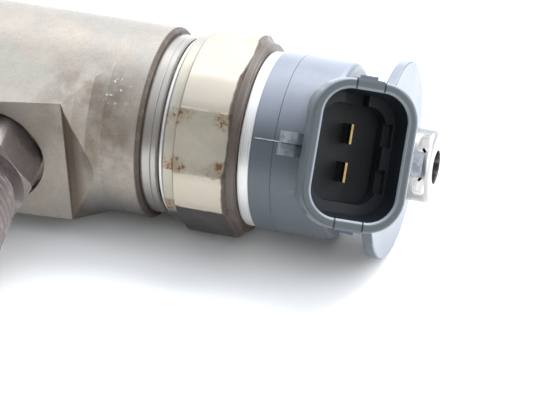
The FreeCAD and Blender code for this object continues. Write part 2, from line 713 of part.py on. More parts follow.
def tool_slots(end_x, depth):
    """Slots in the end face of a threaded ring for a pin spanner."""
    slot = block(
        (end_x - depth, end_x + OVERCUT),
        (-TOOL_SLOT_WIDTH / 2, TOOL_SLOT_WIDTH / 2),
        (0, CAVITY_RADIUS + OVERCUT),
    )
    return repeated(slot, TOOL_SLOTS)


def valve_clamp_screw():
    outer_radius = CLAMP_THREAD_RADIUS - ASSEMBLY_PLAY
    screw = ring(VALVE_TOP_X, CLAMP_SCREW_END_X, CLAMP_SCREW_INNER_RADIUS, outer_radius, chamfer=0.4)
    return screw.cut(tool_slots(CLAMP_SCREW_END_X, TOOL_SLOT_DEPTH))


def ball_centre_x():
    slope_angle = math.radians(BALL_SEAT_HALF_ANGLE)
    return BALL_SEAT_APEX_X + (BALL_RADIUS + SEAT_PLAY) / math.sin(slope_angle)


def valve_ball():
    return Part.makeSphere(BALL_RADIUS, FreeCAD.Vector(ball_centre_x(), 0, 0))


def ball_holder():
    socket = Part.makeSphere(BALL_RADIUS + SEAT_PLAY, FreeCAD.Vector(ball_centre_x(), 0, 0))
    edge = 0.3
    holder = spun([
        (BALL_HOLDER_X[0], 0),
        (BALL_HOLDER_X[0], BALL_HOLDER_RADIUS - 2 * edge),
        (BALL_HOLDER_X[0] + 2 * edge, BALL_HOLDER_RADIUS),
        (BALL_HOLDER_X[1], BALL_HOLDER_RADIUS),
        (BALL_HOLDER_X[1], 0),
    ])
    return holder.cut(socket)


def armature_lift_shim():
    outer_radius = CAVITY_RADIUS - ASSEMBLY_PLAY
    return ring(CAVITY_X, CAVITY_X + LIFT_SHIM_THICKNESS, SHIM_INNER_RADIUS, outer_radius)


def guide_flange_span():
    start_x = CAVITY_X + LIFT_SHIM_THICKNESS
    return start_x, start_x + GUIDE_FLANGE_THICKNESS


def armature_guide():
    flange_start_x, flange_end_x = guide_flange_span()
    edge = 0.3
    guide = spun([
        (GUIDE_START_X, BOLT_RADIUS + RUNNING_PLAY),
        (GUIDE_START_X, GUIDE_HUB_RADIUS - edge),
        (GUIDE_START_X + edge, GUIDE_HUB_RADIUS),
        (flange_start_x, GUIDE_HUB_RADIUS),
        (flange_start_x, CAVITY_RADIUS - ASSEMBLY_PLAY),
        (flange_end_x, CAVITY_RADIUS - ASSEMBLY_PLAY),
        (flange_end_x, BOLT_RADIUS + RUNNING_PLAY),
    ])
    port = rod(flange_start_x - OVERCUT, flange_end_x + OVERCUT, GUIDE_PORT_RADIUS)
    port.translate(UP * GUIDE_PORT_OFFSET)
    return guide.cut(repeated(port, GUIDE_PORTS))


def guide_clamp_ring():
    start_x = guide_flange_span()[1]
    end_x = start_x + GUIDE_RING_THICKNESS
    outer_radius = CAVITY_RADIUS - ASSEMBLY_PLAY
    clamp = ring(start_x, end_x, GUIDE_RING_INNER_RADIUS, outer_radius, chamfer=0.3)
    return clamp.cut(tool_slots(end_x, TOOL_SLOT_DEPTH))


def armature_bolt():
    edge = 0.2
    return spun([
        (BALL_HOLDER_X[1], 0),
        (BALL_HOLDER_X[1], BOLT_RADIUS - edge),
        (BALL_HOLDER_X[1] + edge, BOLT_RADIUS),
        (PLATE_TOP_X, BOLT_RADIUS),
        (PLATE_TOP_X, BOLT_NECK_RADIUS),
        (PLATE_TOP_X + RETAINER_THICKNESS, BOLT_NECK_RADIUS),
        (PLATE_TOP_X + RETAINER_THICKNESS, BOLT_RADIUS - edge),
        (BOLT_TOP_X - edge, BOLT_RADIUS - edge),
        (BOLT_TOP_X, BOLT_NECK_RADIUS),
        (BOLT_TOP_X, 0),
    ])


def armature_plate():
    disc_start_x = PLATE_TOP_X - PLATE_THICKNESS
    edge = 0.25
    plate = spun([
        (PLATE_HUB_X, BOLT_RADIUS + RUNNING_PLAY),
        (PLATE_HUB_X, PLATE_HUB_RADIUS),
        (disc_start_x, PLATE_HUB_RADIUS),
        (disc_start_x, PLATE_RADIUS - edge),
        (disc_start_x + edge, PLATE_RADIUS),
        (PLATE_TOP_X - edge, PLATE_RADIUS),
        (PLATE_TOP_X, PLATE_RADIUS - edge),
        (PLATE_TOP_X, BOLT_RADIUS + RUNNING_PLAY),
    ])
    slot = block(
        (PLATE_HUB_X, PLATE_TOP_X + OVERCUT),
        (-PLATE_SLOT_WIDTH / 2, PLATE_SLOT_WIDTH / 2),
        (PLATE_SLOT_START, PLATE_RADIUS + OVERCUT),
    )
    return plate.cut(repeated(slot, PLATE_SLOTS))


def armature_retainer():
    """A washer with an open side that slides into the bolt's neck."""
    washer = ring(PLATE_TOP_X, PLATE_TOP_X + RETAINER_THICKNESS, BOLT_NECK_RADIUS, RETAINER_RADIUS)
    mouth = block(
        (PLATE_TOP_X, PLATE_TOP_X + RETAINER_THICKNESS),
        (-BOLT_NECK_RADIUS, BOLT_NECK_RADIUS),
        (0, RETAINER_RADIUS),
    )
    return washer.cut(mouth)


def armature_damping_spring():
    return coil_spring(
        guide_flange_span()[1],
        PLATE_HUB_X,
        DAMPING_SPRING_RADIUS,
        DAMPING_SPRING_WIRE_RADIUS,
        DAMPING_SPRING_TURNS,
    )


def valve_spring():
    return coil_spring(
        PLATE_TOP_X + RETAINER_THICKNESS,
        VALVE_SPRING_SHIM_X[0],
        VALVE_SPRING_RADIUS,
        VALVE_SPRING_WIRE_RADIUS,
        VALVE_SPRING_TURNS,
    )


def valve_spring_shim():
    return ring(*VALVE_SPRING_SHIM_X, *VALVE_SPRING_SHIM_RADII)


def lead_holes():
    hole = rod(COIL_GROOVE_END_X - OVERCUT, CORE_X[1] + OVERCUT, LEAD_HOLE_RADIUS)
    return [placed_lead(hole, side) for side in (-1, 1)]


def solenoid_core():
    start_x, end_x = CORE_X
    shim_end_x = VALVE_SPRING_SHIM_X[1]
    inner_pole, outer_pole = COIL_GROOVE_RADII
    core = spun([
        (start_x, CORE_BORE_RADIUS),
        (start_x, inner_pole),
        (COIL_GROOVE_END_X, inner_pole),
        (COIL_GROOVE_END_X, outer_pole),
        (start_x, outer_pole),
        (start_x, CORE_RADIUS),
        (end_x, CORE_RADIUS),
        (end_x, RETURN_BORE_RADIUS),
        (shim_end_x, RETURN_BORE_RADIUS),
        (shim_end_x, CORE_BORE_RADIUS),
    ])
    return core.cut(lead_holes())


def coil_bobbin():
    start_x, end_x = COIL_X
    inner_radius = COIL_GROOVE_RADII[0] + ASSEMBLY_PLAY
    outer_radius = COIL_GROOVE_RADII[1] - ASSEMBLY_PLAY
    return spun([
        (start_x, inner_radius),
        (start_x, outer_radius),
        (start_x + BOBBIN_WALL, outer_radius),
        (start_x + BOBBIN_WALL, inner_radius + BOBBIN_WALL),
        (end_x - BOBBIN_WALL, inner_radius + BOBBIN_WALL),
        (end_x - BOBBIN_WALL, outer_radius),
        (end_x, outer_radius),
        (end_x, inner_radius),
    ]).cut(terminal_shapes())


def coil_winding():
    inner_radius = COIL_GROOVE_RADII[0] + ASSEMBLY_PLAY + BOBBIN_WALL
    outer_radius = COIL_GROOVE_RADII[1] - BOBBIN_WALL / 2
    return ring(COIL_X[0] + BOBBIN_WALL, COIL_X[1] - BOBBIN_WALL, inner_radius, outer_radius)


def solenoid_sleeve():
    flange_start_x, flange_end_x = SLEEVE_FLANGE_X
    edge = 0.3
    sleeve = spun([
        (SLEEVE_START_X, SLEEVE_INNER_RADIUS),
        (SLEEVE_START_X, SLEEVE_OUTER_RADIUS - edge),
        (SLEEVE_START_X + edge, SLEEVE_OUTER_RADIUS),
        (flange_start_x, SLEEVE_OUTER_RADIUS),
        (flange_start_x, SLEEVE_FLANGE_RADIUS),
        (flange_end_x, SLEEVE_FLANGE_RADIUS),
        (flange_end_x, SLEEVE_NECK_RADIUS),
        (SLEEVE_END_X, SLEEVE_NECK_RADIUS),
        (SLEEVE_END_X, SLEEVE_INNER_RADIUS),
    ])
    return sleeve.cut(hoop(SLEEVE_SEAL_X, SLEEVE_OUTER_RADIUS, SLEEVE_SEAL_WIRE_RADIUS))


def sleeve_seal():
    """A ring in the sleeve's groove that seals it in the body's bore."""
    seal = hoop(SLEEVE_SEAL_X, SLEEVE_OUTER_RADIUS, SLEEVE_SEAL_WIRE_RADIUS)
    half_length = 2 * SLEEVE_SEAL_WIRE_RADIUS
    bore = rod(SLEEVE_SEAL_X - half_length, SLEEVE_SEAL_X + half_length, CAVITY_RADIUS)
    return seal.common(bore)


def air_gap_shim():
    return ring(BODY_TOP_X, SLEEVE_FLANGE_X[0], AIR_GAP_SHIM_INNER_RADIUS, SLEEVE_FLANGE_RADIUS)


def solenoid_nut():
    start_x, end_x = NUT_X
    collar_start_x, collar_end_x = NUT_COLLAR_X
    full_start_x, full_end_x = NUT_FULL_X
    collar_edge_radius = NUT_COLLAR_RADIUS - NUT_COLLAR_CHAMFER
    thread_radius = UPPER_THREAD_RADIUS + ASSEMBLY_PLAY
    shoulder_x = SLEEVE_FLANGE_X[1]
    lead_in = 0.5
    turned = spun([
        (start_x, thread_radius + lead_in),
        (start_x, collar_edge_radius),
        (start_x + NUT_COLLAR_CHAMFER, NUT_COLLAR_RADIUS),
        (collar_start_x, NUT_COLLAR_RADIUS),
        (full_start_x, NUT_CORNER_RADIUS),
        (full_end_x, NUT_CORNER_RADIUS),
        (collar_end_x, NUT_COLLAR_RADIUS),
        (end_x - NUT_COLLAR_CHAMFER, NUT_COLLAR_RADIUS),
        (end_x, collar_edge_radius),
        (end_x, NUT_HOLE_RADIUS),
        (shoulder_x, NUT_HOLE_RADIUS),
        (shoulder_x, thread_radius),
        (start_x + lead_in, thread_radius),
    ])
    return turned.common(hexagon(NUT_ACROSS_FLATS, start_x, end_x, ALONG))


def nut_gap_ring():
    """The ring seen in the gap between the body's collar and the solenoid nut."""
    return ring(*GAP_RING_X, UPPER_THREAD_RADIUS + ASSEMBLY_PLAY, GAP_RING_RADIUS, chamfer=0.1)


def sleeve_ring():
    return ring(*SLEEVE_RING_X, SLEEVE_NECK_RADIUS, SLEEVE_RING_RADIUS, chamfer=0.15)


def in_connector(shape):
    """Moves a shape from the connector's own frame, where the rim is at z=0, into place."""
    moved = shape.copy()
    moved.rotate(ORIGIN, ACROSS, SHROUD_TILT)
    moved.translate(FreeCAD.Vector(SHROUD_RIM_X, 0, SHROUD_RIM_OFFSET))
    return clocked(moved, CONNECTOR_CLOCK)


def rounded_outline(z, half_x, half_y, corner):
    """A rectangle about the z axis with round corners."""
    edges = []
    for quarter, (side_x, side_y) in enumerate(((1, 1), (-1, 1), (-1, -1), (1, -1))):
        centre = FreeCAD.Vector(side_x * (half_x - corner), side_y * (half_y - corner), z)
        arc = Part.makeCircle(corner, centre, UP, 90 * quarter, 90 * (quarter + 1))
        if edges:
            edges.append(Part.makeLine(edges[-1].lastVertex().Point, arc.firstVertex().Point))
        edges.append(arc)
    edges.append(Part.makeLine(edges[-1].lastVertex().Point, edges[0].firstVertex().Point))
    return Part.Wire(edges)


def tapered_block(sections):
    """A solid through rounded rectangles, each given by its z, half sizes and corner radius."""
    return Part.makeLoft([rounded_outline(*section) for section in sections], True, True)


def both_sides(x_span, y_span, z_span):
    """Four blocks, mirrored in x and in y."""
    blocks = []
    for side_x in (-1, 1):
        for side_y in (-1, 1):
            mirrored_x = sorted(side_x * x for x in x_span)
            mirrored_y = sorted(side_y * y for y in y_span)
            blocks.append(block(mirrored_x, mirrored_y, z_span))
    return blocks


def side_lugs():
    """The plug's catches: a plain one, and one in two stepped halves, in the connector's frame."""
    reach_x = SHROUD_SIZE[0] / 2 + LUG_REACH
    low_z, high_z = LUG_Z
    half_groove = LUG_GROOVE / 2
    plain = block((0, reach_x), (-LUG_HALF_WIDTH, LUG_HALF_WIDTH), LUG_Z)
    high_half = block((-reach_x, 0), (half_groove, LUG_HALF_WIDTH), LUG_Z)
    low_half = block((-reach_x, 0), (-LUG_HALF_WIDTH, -half_groove), (low_z - LUG_STEP, high_z - LUG_STEP))
    web = block((-reach_x + LUG_GROOVE, 0), (-half_groove, half_groove), (low_z, high_z - LUG_STEP - LUG_GROOVE))
    return [plain, high_half, low_half, web]


def shroud_outside():
    """The connector's outer block with its band, lugs, end ribs and nubs, in the connector's frame."""
    size_x, size_y = SHROUD_SIZE
    band = tapered_block((
        (-SHROUD_BAND_DEPTH, size_x / 2, size_y / 2, SHROUD_CORNER),
        (0, size_x / 2, size_y / 2, SHROUD_CORNER),
    ))
    rim_edges = [edge for edge in band.Edges if edge.BoundBox.ZMin > -RIM_ROUNDING]
    band = band.makeFillet(RIM_ROUNDING, rim_edges)
    rib = block(
        (-END_RIB_WIDTH / 2, END_RIB_WIDTH / 2),
        (-size_y / 2 - END_RIB_HEIGHT, size_y / 2 + END_RIB_HEIGHT),
        (-SHROUD_BAND_DEPTH, 0),
    )
    nub_width, nub_reach, nub_height = END_NUB_SIZE
    nub = block(
        (-nub_width / 2, nub_width / 2),
        (-size_y / 2 - nub_reach, size_y / 2 + nub_reach),
        (-END_NUB_DEPTH - nub_height, -END_NUB_DEPTH),
    )
    notches = both_sides(
        (END_RIB_WIDTH / 2, END_RIB_WIDTH / 2 + END_NOTCH_WIDTH),
        (MOUTH_HALF_SIZE[1] - OVERCUT, size_y / 2 + OVERCUT),
        (-END_NOTCH_DEPTH, OVERCUT),
    )
    return band.fuse([tapered_block(SHROUD_SECTIONS), rib, nub] + side_lugs()).cut(notches)


def socket_space():
    """The hollow that the plug enters, in the connector's frame."""
    half_x, half_y = MOUTH_HALF_SIZE
    flare = RIM_LIP + OVERCUT
    mouth = tapered_block((
        (-LEDGE_DEPTH, half_x, half_y - MOUTH_DRAFT, MOUTH_CORNER),
        (-RIM_LIP, half_x, half_y, MOUTH_CORNER),
        (OVERCUT, half_x + flare, half_y + flare, MOUTH_CORNER + flare),
    ))
    deep_half_x, deep_half_y = (size / 2 for size in DEEP_SIZE)
    deep = tapered_block((
        (-SOCKET_DEPTH, deep_half_x, deep_half_y, DEEP_CORNER),
        (-LEDGE_DEPTH + OVERCUT, deep_half_x, deep_half_y, DEEP_CORNER),
    ))
    gaps = both_sides((0, LEDGE_GAP_HALF_WIDTH), LEDGE_GAP_Y, (-LEDGE_GAP_DEPTH, -LEDGE_DEPTH + OVERCUT))
    key_slot = block(
        (-KEY_SLOT_HALF_WIDTH, KEY_SLOT_HALF_WIDTH),
        (0, half_y - MOUTH_DRAFT),
        (-KEY_SLOT_DEPTH, -LEDGE_DEPTH + OVERCUT),
    )
    return mouth.fuse([deep, key_slot] + gaps)


def placed_lead(shape, side):
    """A coil lead or its hole, moved from the axis to one side of the connector's plane."""
    moved = shape.copy()
    moved.translate(FreeCAD.Vector(0, side * BLADE_PITCH / 2, LEAD_OFFSET))
    return clocked(moved, CONNECTOR_CLOCK)


def terminal_shapes():
    """Two blades, each with a leg that runs down through the moulding to the coil."""
    terminals = []
    half_thickness = BLADE_THICKNESS / 2
    half_tip = BLADE_TIP_THICKNESS / 2
    root = FreeCAD.Vector(-half_thickness, 0, -BLADE_ROOT_DEPTH)
    shoulder_z = -BLADE_TIP_DEPTH - BLADE_TIP_TAPER
    outline = [
        FreeCAD.Vector(-half_thickness, 0, -BLADE_ROOT_DEPTH),
        FreeCAD.Vector(half_thickness, 0, -BLADE_ROOT_DEPTH),
        FreeCAD.Vector(half_thickness, 0, shoulder_z),
        FreeCAD.Vector(half_tip, 0, -BLADE_TIP_DEPTH),
        FreeCAD.Vector(-half_tip, 0, -BLADE_TIP_DEPTH),
        FreeCAD.Vector(-half_thickness, 0, shoulder_z),
    ]
    for side in (-1, 1):
        middle_y = side * BLADE_PITCH / 2
        blade = Part.Face(Part.makePolygon(outline + outline[:1])).extrude(ACROSS * BLADE_WIDTH)
        blade.translate(ACROSS * (middle_y - BLADE_WIDTH / 2))
        blade = in_connector(blade)
        root_in_plane = connector_point(root)
        riser_x = root_in_plane.x
        riser = block(
            (riser_x - half_thickness, riser_x + half_thickness),
            (middle_y - LEAD_SIZE / 2, middle_y + LEAD_SIZE / 2),
            (LEAD_OFFSET - LEAD_SIZE / 2, root_in_plane.z + LEAD_SIZE),
        )
        leg = block(
            (LEAD_END_X - BOBBIN_WALL * 2, riser_x),
            (middle_y - LEAD_SIZE / 2, middle_y + LEAD_SIZE / 2),
            (LEAD_OFFSET - LEAD_SIZE / 2, LEAD_OFFSET + LEAD_SIZE / 2),
        )
        terminals.append(blade.fuse([clocked(riser, CONNECTOR_CLOCK), clocked(leg, CONNECTOR_CLOCK)]))
    return terminals


def connector_point(point):
    """A point of the connector's frame, in the frame of the injector before it is clocked."""
    tilt = math.radians(SHROUD_TILT)
    return FreeCAD.Vector(
        SHROUD_RIM_X + point.x * math.cos(tilt) + point.z * math.sin(tilt),
        point.y,
        SHROUD_RIM_OFFSET - point.x * math.sin(tilt) + point.z * math.cos(tilt),
    )


def terminal_blades():
    return Part.makeCompound(terminal_shapes())


def housing_core():
    """The round parts of the moulding: plug, skirt, neck and disc."""
    skirt_start_x, skirt_end_x = SKIRT_X
    disc_start_x, disc_end_x = DISC_X
    turned = spun([
        (CORE_X[1], 0),
        (CORE_X[1], SLEEVE_INNER_RADIUS),
        (SLEEVE_END_X, SLEEVE_INNER_RADIUS),
        (SLEEVE_END_X, SLEEVE_NECK_RADIUS),
        (skirt_start_x, SLEEVE_NECK_RADIUS),
        (skirt_start_x, SKIRT_RADIUS),
        (SKIRT_LINE_X - SKIRT_LINE_DEPTH, SKIRT_RADIUS),
        (SKIRT_LINE_X, SKIRT_RADIUS - SKIRT_LINE_DEPTH),
        (SKIRT_LINE_X + SKIRT_LINE_DEPTH, SKIRT_RADIUS),
        (skirt_end_x, SKIRT_RADIUS),
        (skirt_end_x, NECK_RADIUS),
        (disc_start_x, NECK_RADIUS),
        (disc_start_x, DISC_RADIUS),
        (disc_end_x, DISC_RADIUS),
        (disc_end_x, 0),
    ])
    skirt_edge = [edge for edge in turned.Edges if on_circle(edge, skirt_end_x, SKIRT_RADIUS)]
    disc_edges = [edge for edge in turned.Edges if on_circle(edge, None, DISC_RADIUS)]
    return turned.makeFillet(SKIRT_FILLET, skirt_edge).makeFillet(DISC_ROUNDING, disc_edges)


def on_circle(edge, centre_x, radius):
    """Whether an edge is a circle of this radius about the axis, at this x if one is given."""
    if not isinstance(edge.Curve, Part.Circle) or abs(edge.Curve.Radius - radius) > SEAT_PLAY:
        return False
    return centre_x is None or abs(edge.Curve.Center.x - centre_x) < SEAT_PLAY


def connector_housing():
    block_shape = in_connector(shroud_outside())
    above_core = clocked(
        block((SKIRT_X[0], SHROUD_RIM_X * 2), (-HEAD_RADIUS, HEAD_RADIUS), (0, 2 * SHROUD_RIM_OFFSET)),
        CONNECTOR_CLOCK,
    )
    behind_disc = rod(DISC_X[1], SHROUD_RIM_X * 2, NECK_RADIUS)
    moulding = housing_core().fuse(block_shape.common(above_core).cut(behind_disc))
    return moulding.cut(in_connector(socket_space())).cut([union_outside()] + terminal_shapes()).removeSplitter()


def union_outside():
    anchor_start_x, anchor_end_x = UNION_ANCHOR_X
    turned = spun([
        (UNION_START_X, 0),
        (UNION_START_X, UNION_STEM_RADIUS),
        (anchor_start_x, UNION_STEM_RADIUS),
        (anchor_start_x, UNION_ANCHOR_RADIUS),
        (anchor_end_x, UNION_ANCHOR_RADIUS),
        (anchor_end_x, UNION_STEM_RADIUS),
        (DISC_X[0], UNION_STEM_RADIUS),
        (DISC_X[0], UNION_RADIUS),
        (UNION_END_X, UNION_RADIUS),
        (UNION_END_X, 0),
    ])
    end_edge = [edge for edge in turned.Edges if on_circle(edge, UNION_END_X, UNION_RADIUS)]
    return turned.makeFillet(UNION_EDGE, end_edge)


def return_union():
    passage = rod(UNION_START_X - OVERCUT, UNION_BORE_X + OVERCUT, RETURN_BORE_RADIUS)
    bore = rod(UNION_BORE_X, UNION_END_X + OVERCUT, UNION_BORE_RADIUS)
    slots = []
    for side in (-1, 1):
        slot = block(
            (CLIP_SLOT_X - CLIP_SLOT_WIDTH / 2, CLIP_SLOT_X + CLIP_SLOT_WIDTH / 2),
            (side * CLIP_SLOT_OFFSET - CLIP_SLOT_HEIGHT / 2, side * CLIP_SLOT_OFFSET + CLIP_SLOT_HEIGHT / 2),
            (-2 * UNION_RADIUS, 2 * UNION_RADIUS),
        )
        lengthwise = [edge for edge in slot.Edges if abs(edge.tangentAt(edge.FirstParameter).z) > 0.5]
        slots.append(clocked(slot.makeFillet(CLIP_SLOT_WIDTH * 0.45, lengthwise), CONNECTOR_CLOCK))
    return union_outside().cut([passage, bore] + slots)


def inlet_fitting():
    """The screwed-in union for the high-pressure pipe."""
    seat_z = BOSS_FLAT_OFFSET - RECESS_DEPTH
    hex_bar = hexagon(INLET_HEX_ACROSS_FLATS, seat_z, INLET_HEX_OFFSET, UP)
    hex_turned = stood_up([
        (seat_z, 0),
        (seat_z, INLET_HEX_RADIUS - INLET_HEX_CHAMFER / 2),
        (seat_z + INLET_HEX_CHAMFER / 2, INLET_HEX_RADIUS),
        (INLET_HEX_OFFSET - INLET_HEX_CHAMFER / 2, INLET_HEX_RADIUS),
        (INLET_HEX_OFFSET, INLET_HEX_RADIUS - INLET_HEX_CHAMFER),
        (INLET_HEX_OFFSET, 0),
    ])
    relief_radius = INLET_THREAD_RADIUS - INLET_THREAD_CHAMFER
    relief_end = INLET_HEX_OFFSET + INLET_THREAD_RELIEF
    stub = stood_up([
        (INLET_SPIGOT_OFFSET, 0),
        (INLET_SPIGOT_OFFSET, INLET_SPIGOT_RADIUS - ASSEMBLY_PLAY),
        (seat_z, INLET_SPIGOT_RADIUS - ASSEMBLY_PLAY),
        (seat_z, relief_radius),
        (relief_end, relief_radius),
        (relief_end + INLET_THREAD_CHAMFER, INLET_THREAD_RADIUS),
        (INLET_END_OFFSET - INLET_THREAD_CHAMFER, INLET_THREAD_RADIUS),
        (INLET_END_OFFSET, INLET_THREAD_RADIUS - INLET_THREAD_CHAMFER),
        (INLET_END_OFFSET, 0),
    ])
    cone_depth = (INLET_CONE_RADIUS - INLET_BORE_RADIUS) / math.tan(math.radians(INLET_CONE_HALF_ANGLE))
    filter_end = filter_start_offset()
    inside = stood_up([
        (INLET_SPIGOT_OFFSET - OVERCUT, 0),
        (INLET_SPIGOT_OFFSET - OVERCUT, INLET_PASSAGE_RADIUS),
        (filter_end, INLET_PASSAGE_RADIUS),
        (filter_end, INLET_BORE_RADIUS),
        (INLET_END_OFFSET - cone_depth, INLET_BORE_RADIUS),
        (INLET_END_OFFSET, INLET_CONE_RADIUS),
        (INLET_END_OFFSET + OVERCUT, INLET_CONE_RADIUS),
        (INLET_END_OFFSET + OVERCUT, 0),
    ])
    return in_inlet(hex_bar.common(hex_turned).fuse(stub).cut(inside))


def stood_up(outline):
    """A solid turned about the inlet's axis from (height, radius) points, in the inlet's frame."""
    points = [FreeCAD.Vector(radius, 0, height) for height, radius in outline]
    face = Part.Face(Part.makePolygon(points + points[:1]))
    return face.revolve(ORIGIN, UP, 360)


def filter_start_offset():
    return INLET_HEX_OFFSET - FILTER_LENGTH / 2


def edge_filter():
    """A pressed-in rod whose grooves are closed at alternate ends, so that dirt is held back."""
    start_z = filter_start_offset()
    end_z = start_z + FILTER_LENGTH
    land = 1
    groove_radius = 0.4
    rod_shape = upright(start_z, end_z, INLET_BORE_RADIUS)
    grooves = []
    for number in range(2 * FILTER_GROOVES):
        from_top = number % 2
        groove_start = start_z + land if from_top else start_z - OVERCUT
        groove_end = end_z + OVERCUT if from_top else end_z - land
        groove = upright(groove_start, groove_end, groove_radius, ALONG * INLET_BORE_RADIUS)
        groove.rotate(ORIGIN, UP, 360 * number / (2 * FILTER_GROOVES))
        grooves.append(groove)
    return in_inlet(rod_shape.cut(grooves))


PARTS = (
    nozzle_body,
    nozzle_needle,
    pressure_pin,
    nozzle_spring,
    spring_shim,
    nozzle_dowels,
    nozzle_retaining_nut,
    combustion_washer,
    injector_body,
    inlet_fitting,
    edge_filter,
    control_piston,
    valve_piece,
    valve_piece_seal,
    valve_clamp_screw,
    valve_ball,
    ball_holder,
    armature_guide,
    armature_lift_shim,
    guide_clamp_ring,
    armature_bolt,
    armature_plate,
    armature_retainer,
    armature_damping_spring,
    valve_spring,
    valve_spring_shim,
    solenoid_core,
    coil_bobbin,
    coil_winding,
    solenoid_sleeve,
    sleeve_seal,
    air_gap_shim,
    solenoid_nut,
    nut_gap_ring,
    sleeve_ring,
    connector_housing,
    terminal_blades,
    return_union,
)

os.makedirs("parts", exist_ok=True)
for make_part in PARTS:
    shape = make_part()
    shape.exportStep(f"parts/{make_part.__name__}.step")
    print(make_part.__name__, len(shape.Solids), round(shape.Volume, 3), shape.isValid())
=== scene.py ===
import json
import math
import random

import bpy
from mathutils import Matrix, Vector


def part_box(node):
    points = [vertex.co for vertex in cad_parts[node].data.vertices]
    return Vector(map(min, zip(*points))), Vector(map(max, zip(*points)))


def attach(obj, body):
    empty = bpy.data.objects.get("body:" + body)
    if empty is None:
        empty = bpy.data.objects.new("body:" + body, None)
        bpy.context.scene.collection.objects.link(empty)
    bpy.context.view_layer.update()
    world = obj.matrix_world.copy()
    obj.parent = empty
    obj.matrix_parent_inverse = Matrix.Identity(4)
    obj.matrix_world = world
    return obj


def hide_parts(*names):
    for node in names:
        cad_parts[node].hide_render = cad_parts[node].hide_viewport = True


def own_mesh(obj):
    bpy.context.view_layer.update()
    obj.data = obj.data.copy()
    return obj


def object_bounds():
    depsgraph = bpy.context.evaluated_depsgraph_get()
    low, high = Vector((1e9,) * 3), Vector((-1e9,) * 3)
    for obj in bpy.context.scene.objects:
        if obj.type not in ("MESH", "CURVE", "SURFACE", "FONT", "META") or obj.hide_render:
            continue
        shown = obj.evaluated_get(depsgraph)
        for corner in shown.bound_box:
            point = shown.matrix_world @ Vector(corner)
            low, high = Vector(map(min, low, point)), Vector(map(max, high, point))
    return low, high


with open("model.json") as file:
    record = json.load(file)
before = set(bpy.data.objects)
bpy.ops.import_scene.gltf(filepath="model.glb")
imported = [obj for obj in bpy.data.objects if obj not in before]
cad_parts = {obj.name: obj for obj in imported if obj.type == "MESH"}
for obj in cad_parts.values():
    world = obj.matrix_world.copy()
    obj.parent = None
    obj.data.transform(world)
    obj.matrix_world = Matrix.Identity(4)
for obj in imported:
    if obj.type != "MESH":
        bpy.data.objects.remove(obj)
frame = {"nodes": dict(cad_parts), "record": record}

# The looks of a common-rail fuel injector that lies on its side. Metres, in the CAD model's frame:
# +X runs along the injector's axis to the return union and +Z is up.

CAD_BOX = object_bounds()
NODES = frame["nodes"]
MM = 0.001


def mm(*values):
    return tuple(value * MM for value in values)


# Camera
CAMERA_PLACE = Vector((230.2, -262.4, 211.5)) * MM
CAMERA_TURN = (0.88981, 0.02729, 0.30134)
CAMERA_LENS = 153.6
CAMERA_SENSOR = 36

# Stage; a light's direction points towards the light
FLOOR_HALF_SIZE = 4.0
FLOOR_GAP = 0.02 * MM
SUN_STRENGTH = 3.9
SUN_ANGLE = math.radians(50)
SUN_DIRECTION = Vector((0.25, 0.75, 1.0))
SUN_COLOUR = (0.98, 0.99, 1.0)
SIDE_STRENGTH = 2.5
SIDE_ANGLE = math.radians(60)
SIDE_DIRECTION = Vector((1.0, -0.05, 0.4))
SIDE_COLOUR = (0.96, 0.98, 1.0)
SKY_FRONT = (0.36, 0.35, 0.325)
SKY_BACK = (1.86, 1.98, 2.19)
SKY_BLEND = (-0.2, 0.9)    # where the sky goes from front to back, as the cosine of the angle to the sun
TONE = 0.67    # the object's colours are scaled by this, to suit the strong light that whitens the floor

# Sizes that the CAD boxes don't give, in metres
NUT_ACROSS_FLATS = 29 * MM
NUT_CORNER_RADIUS = 15.3 * MM
NUT_COLLAR_RADIUS = 14.3 * MM
NUT_START_COLLAR = 1.7 * MM
NUT_END_COLLAR = 1.1 * MM
NUT_CONE_LENGTH = 0.4 * MM
NUT_FLAT_SHARE = 0.38    # where a flat ends, from nothing at a corner to one at mid-flat
NUT_EDGE = 0.2 * MM
NUT_BEVEL = 0.14 * MM
NUT_THREAD_RADIUS = 12.52 * MM
NUT_HOLE_RADIUS = 12 * MM
NUT_SHOULDER = 2.9 * MM
BODY_STEP_X = 126.3 * MM
SKIRT_RADIUS = 13.35 * MM
FLASH_X = mm(143.1, 151.4)
FLASH_STEPS = 46
FLASH_ROOT = -0.15 * MM
CONNECTOR_CLOCK = math.radians(51.5)
CONNECTOR_TILT = math.radians(25)
RIM_X = 161.85 * MM
RIM_OFFSET = 27 * MM
SOCKET_HALF_SIZE = mm(5.95, 8.9)
SOCKET_CORNER = 3.85 * MM
WINDING_RADII = mm(5.55, 7.72)
WIRE_RADIUS = 0.27 * MM
INLET_TILT = math.radians(8)
INLET_CROSSING = Vector(mm(100.4, 0, 0))
INLET_SPIGOT_START = 6.6 * MM
INLET_SEAT = 13.65 * MM
INLET_HEX_END = 21.8 * MM
INLET_END = 34 * MM
INLET_PASSAGE_END = 16.3 * MM
INLET_SPIGOT_RADIUS = 4.78 * MM
INLET_SPIGOT_CHAMFER = 0.38 * MM
INLET_THROAT_RADIUS = 1.2 * MM
INLET_PASSAGE_RADIUS = 2 * MM
INLET_CONE_RADIUS = 4.2 * MM
INLET_CONE_DEPTH = 3.8 * MM
INLET_RELIEF_RADIUS = 6 * MM
INLET_ACROSS_FLATS = 15 * MM
INLET_CORNER_RADIUS = 8.4 * MM
INLET_THREAD_RADIUS = 7 * MM
THREAD_PITCH = 1.5 * MM
THREAD_DEPTH = 0.92 * MM
THREAD_FLAT = 0.12    # the width of its crest and of its root, as a share of the pitch
THREAD_STEPS = 14    # along the axis, for each turn

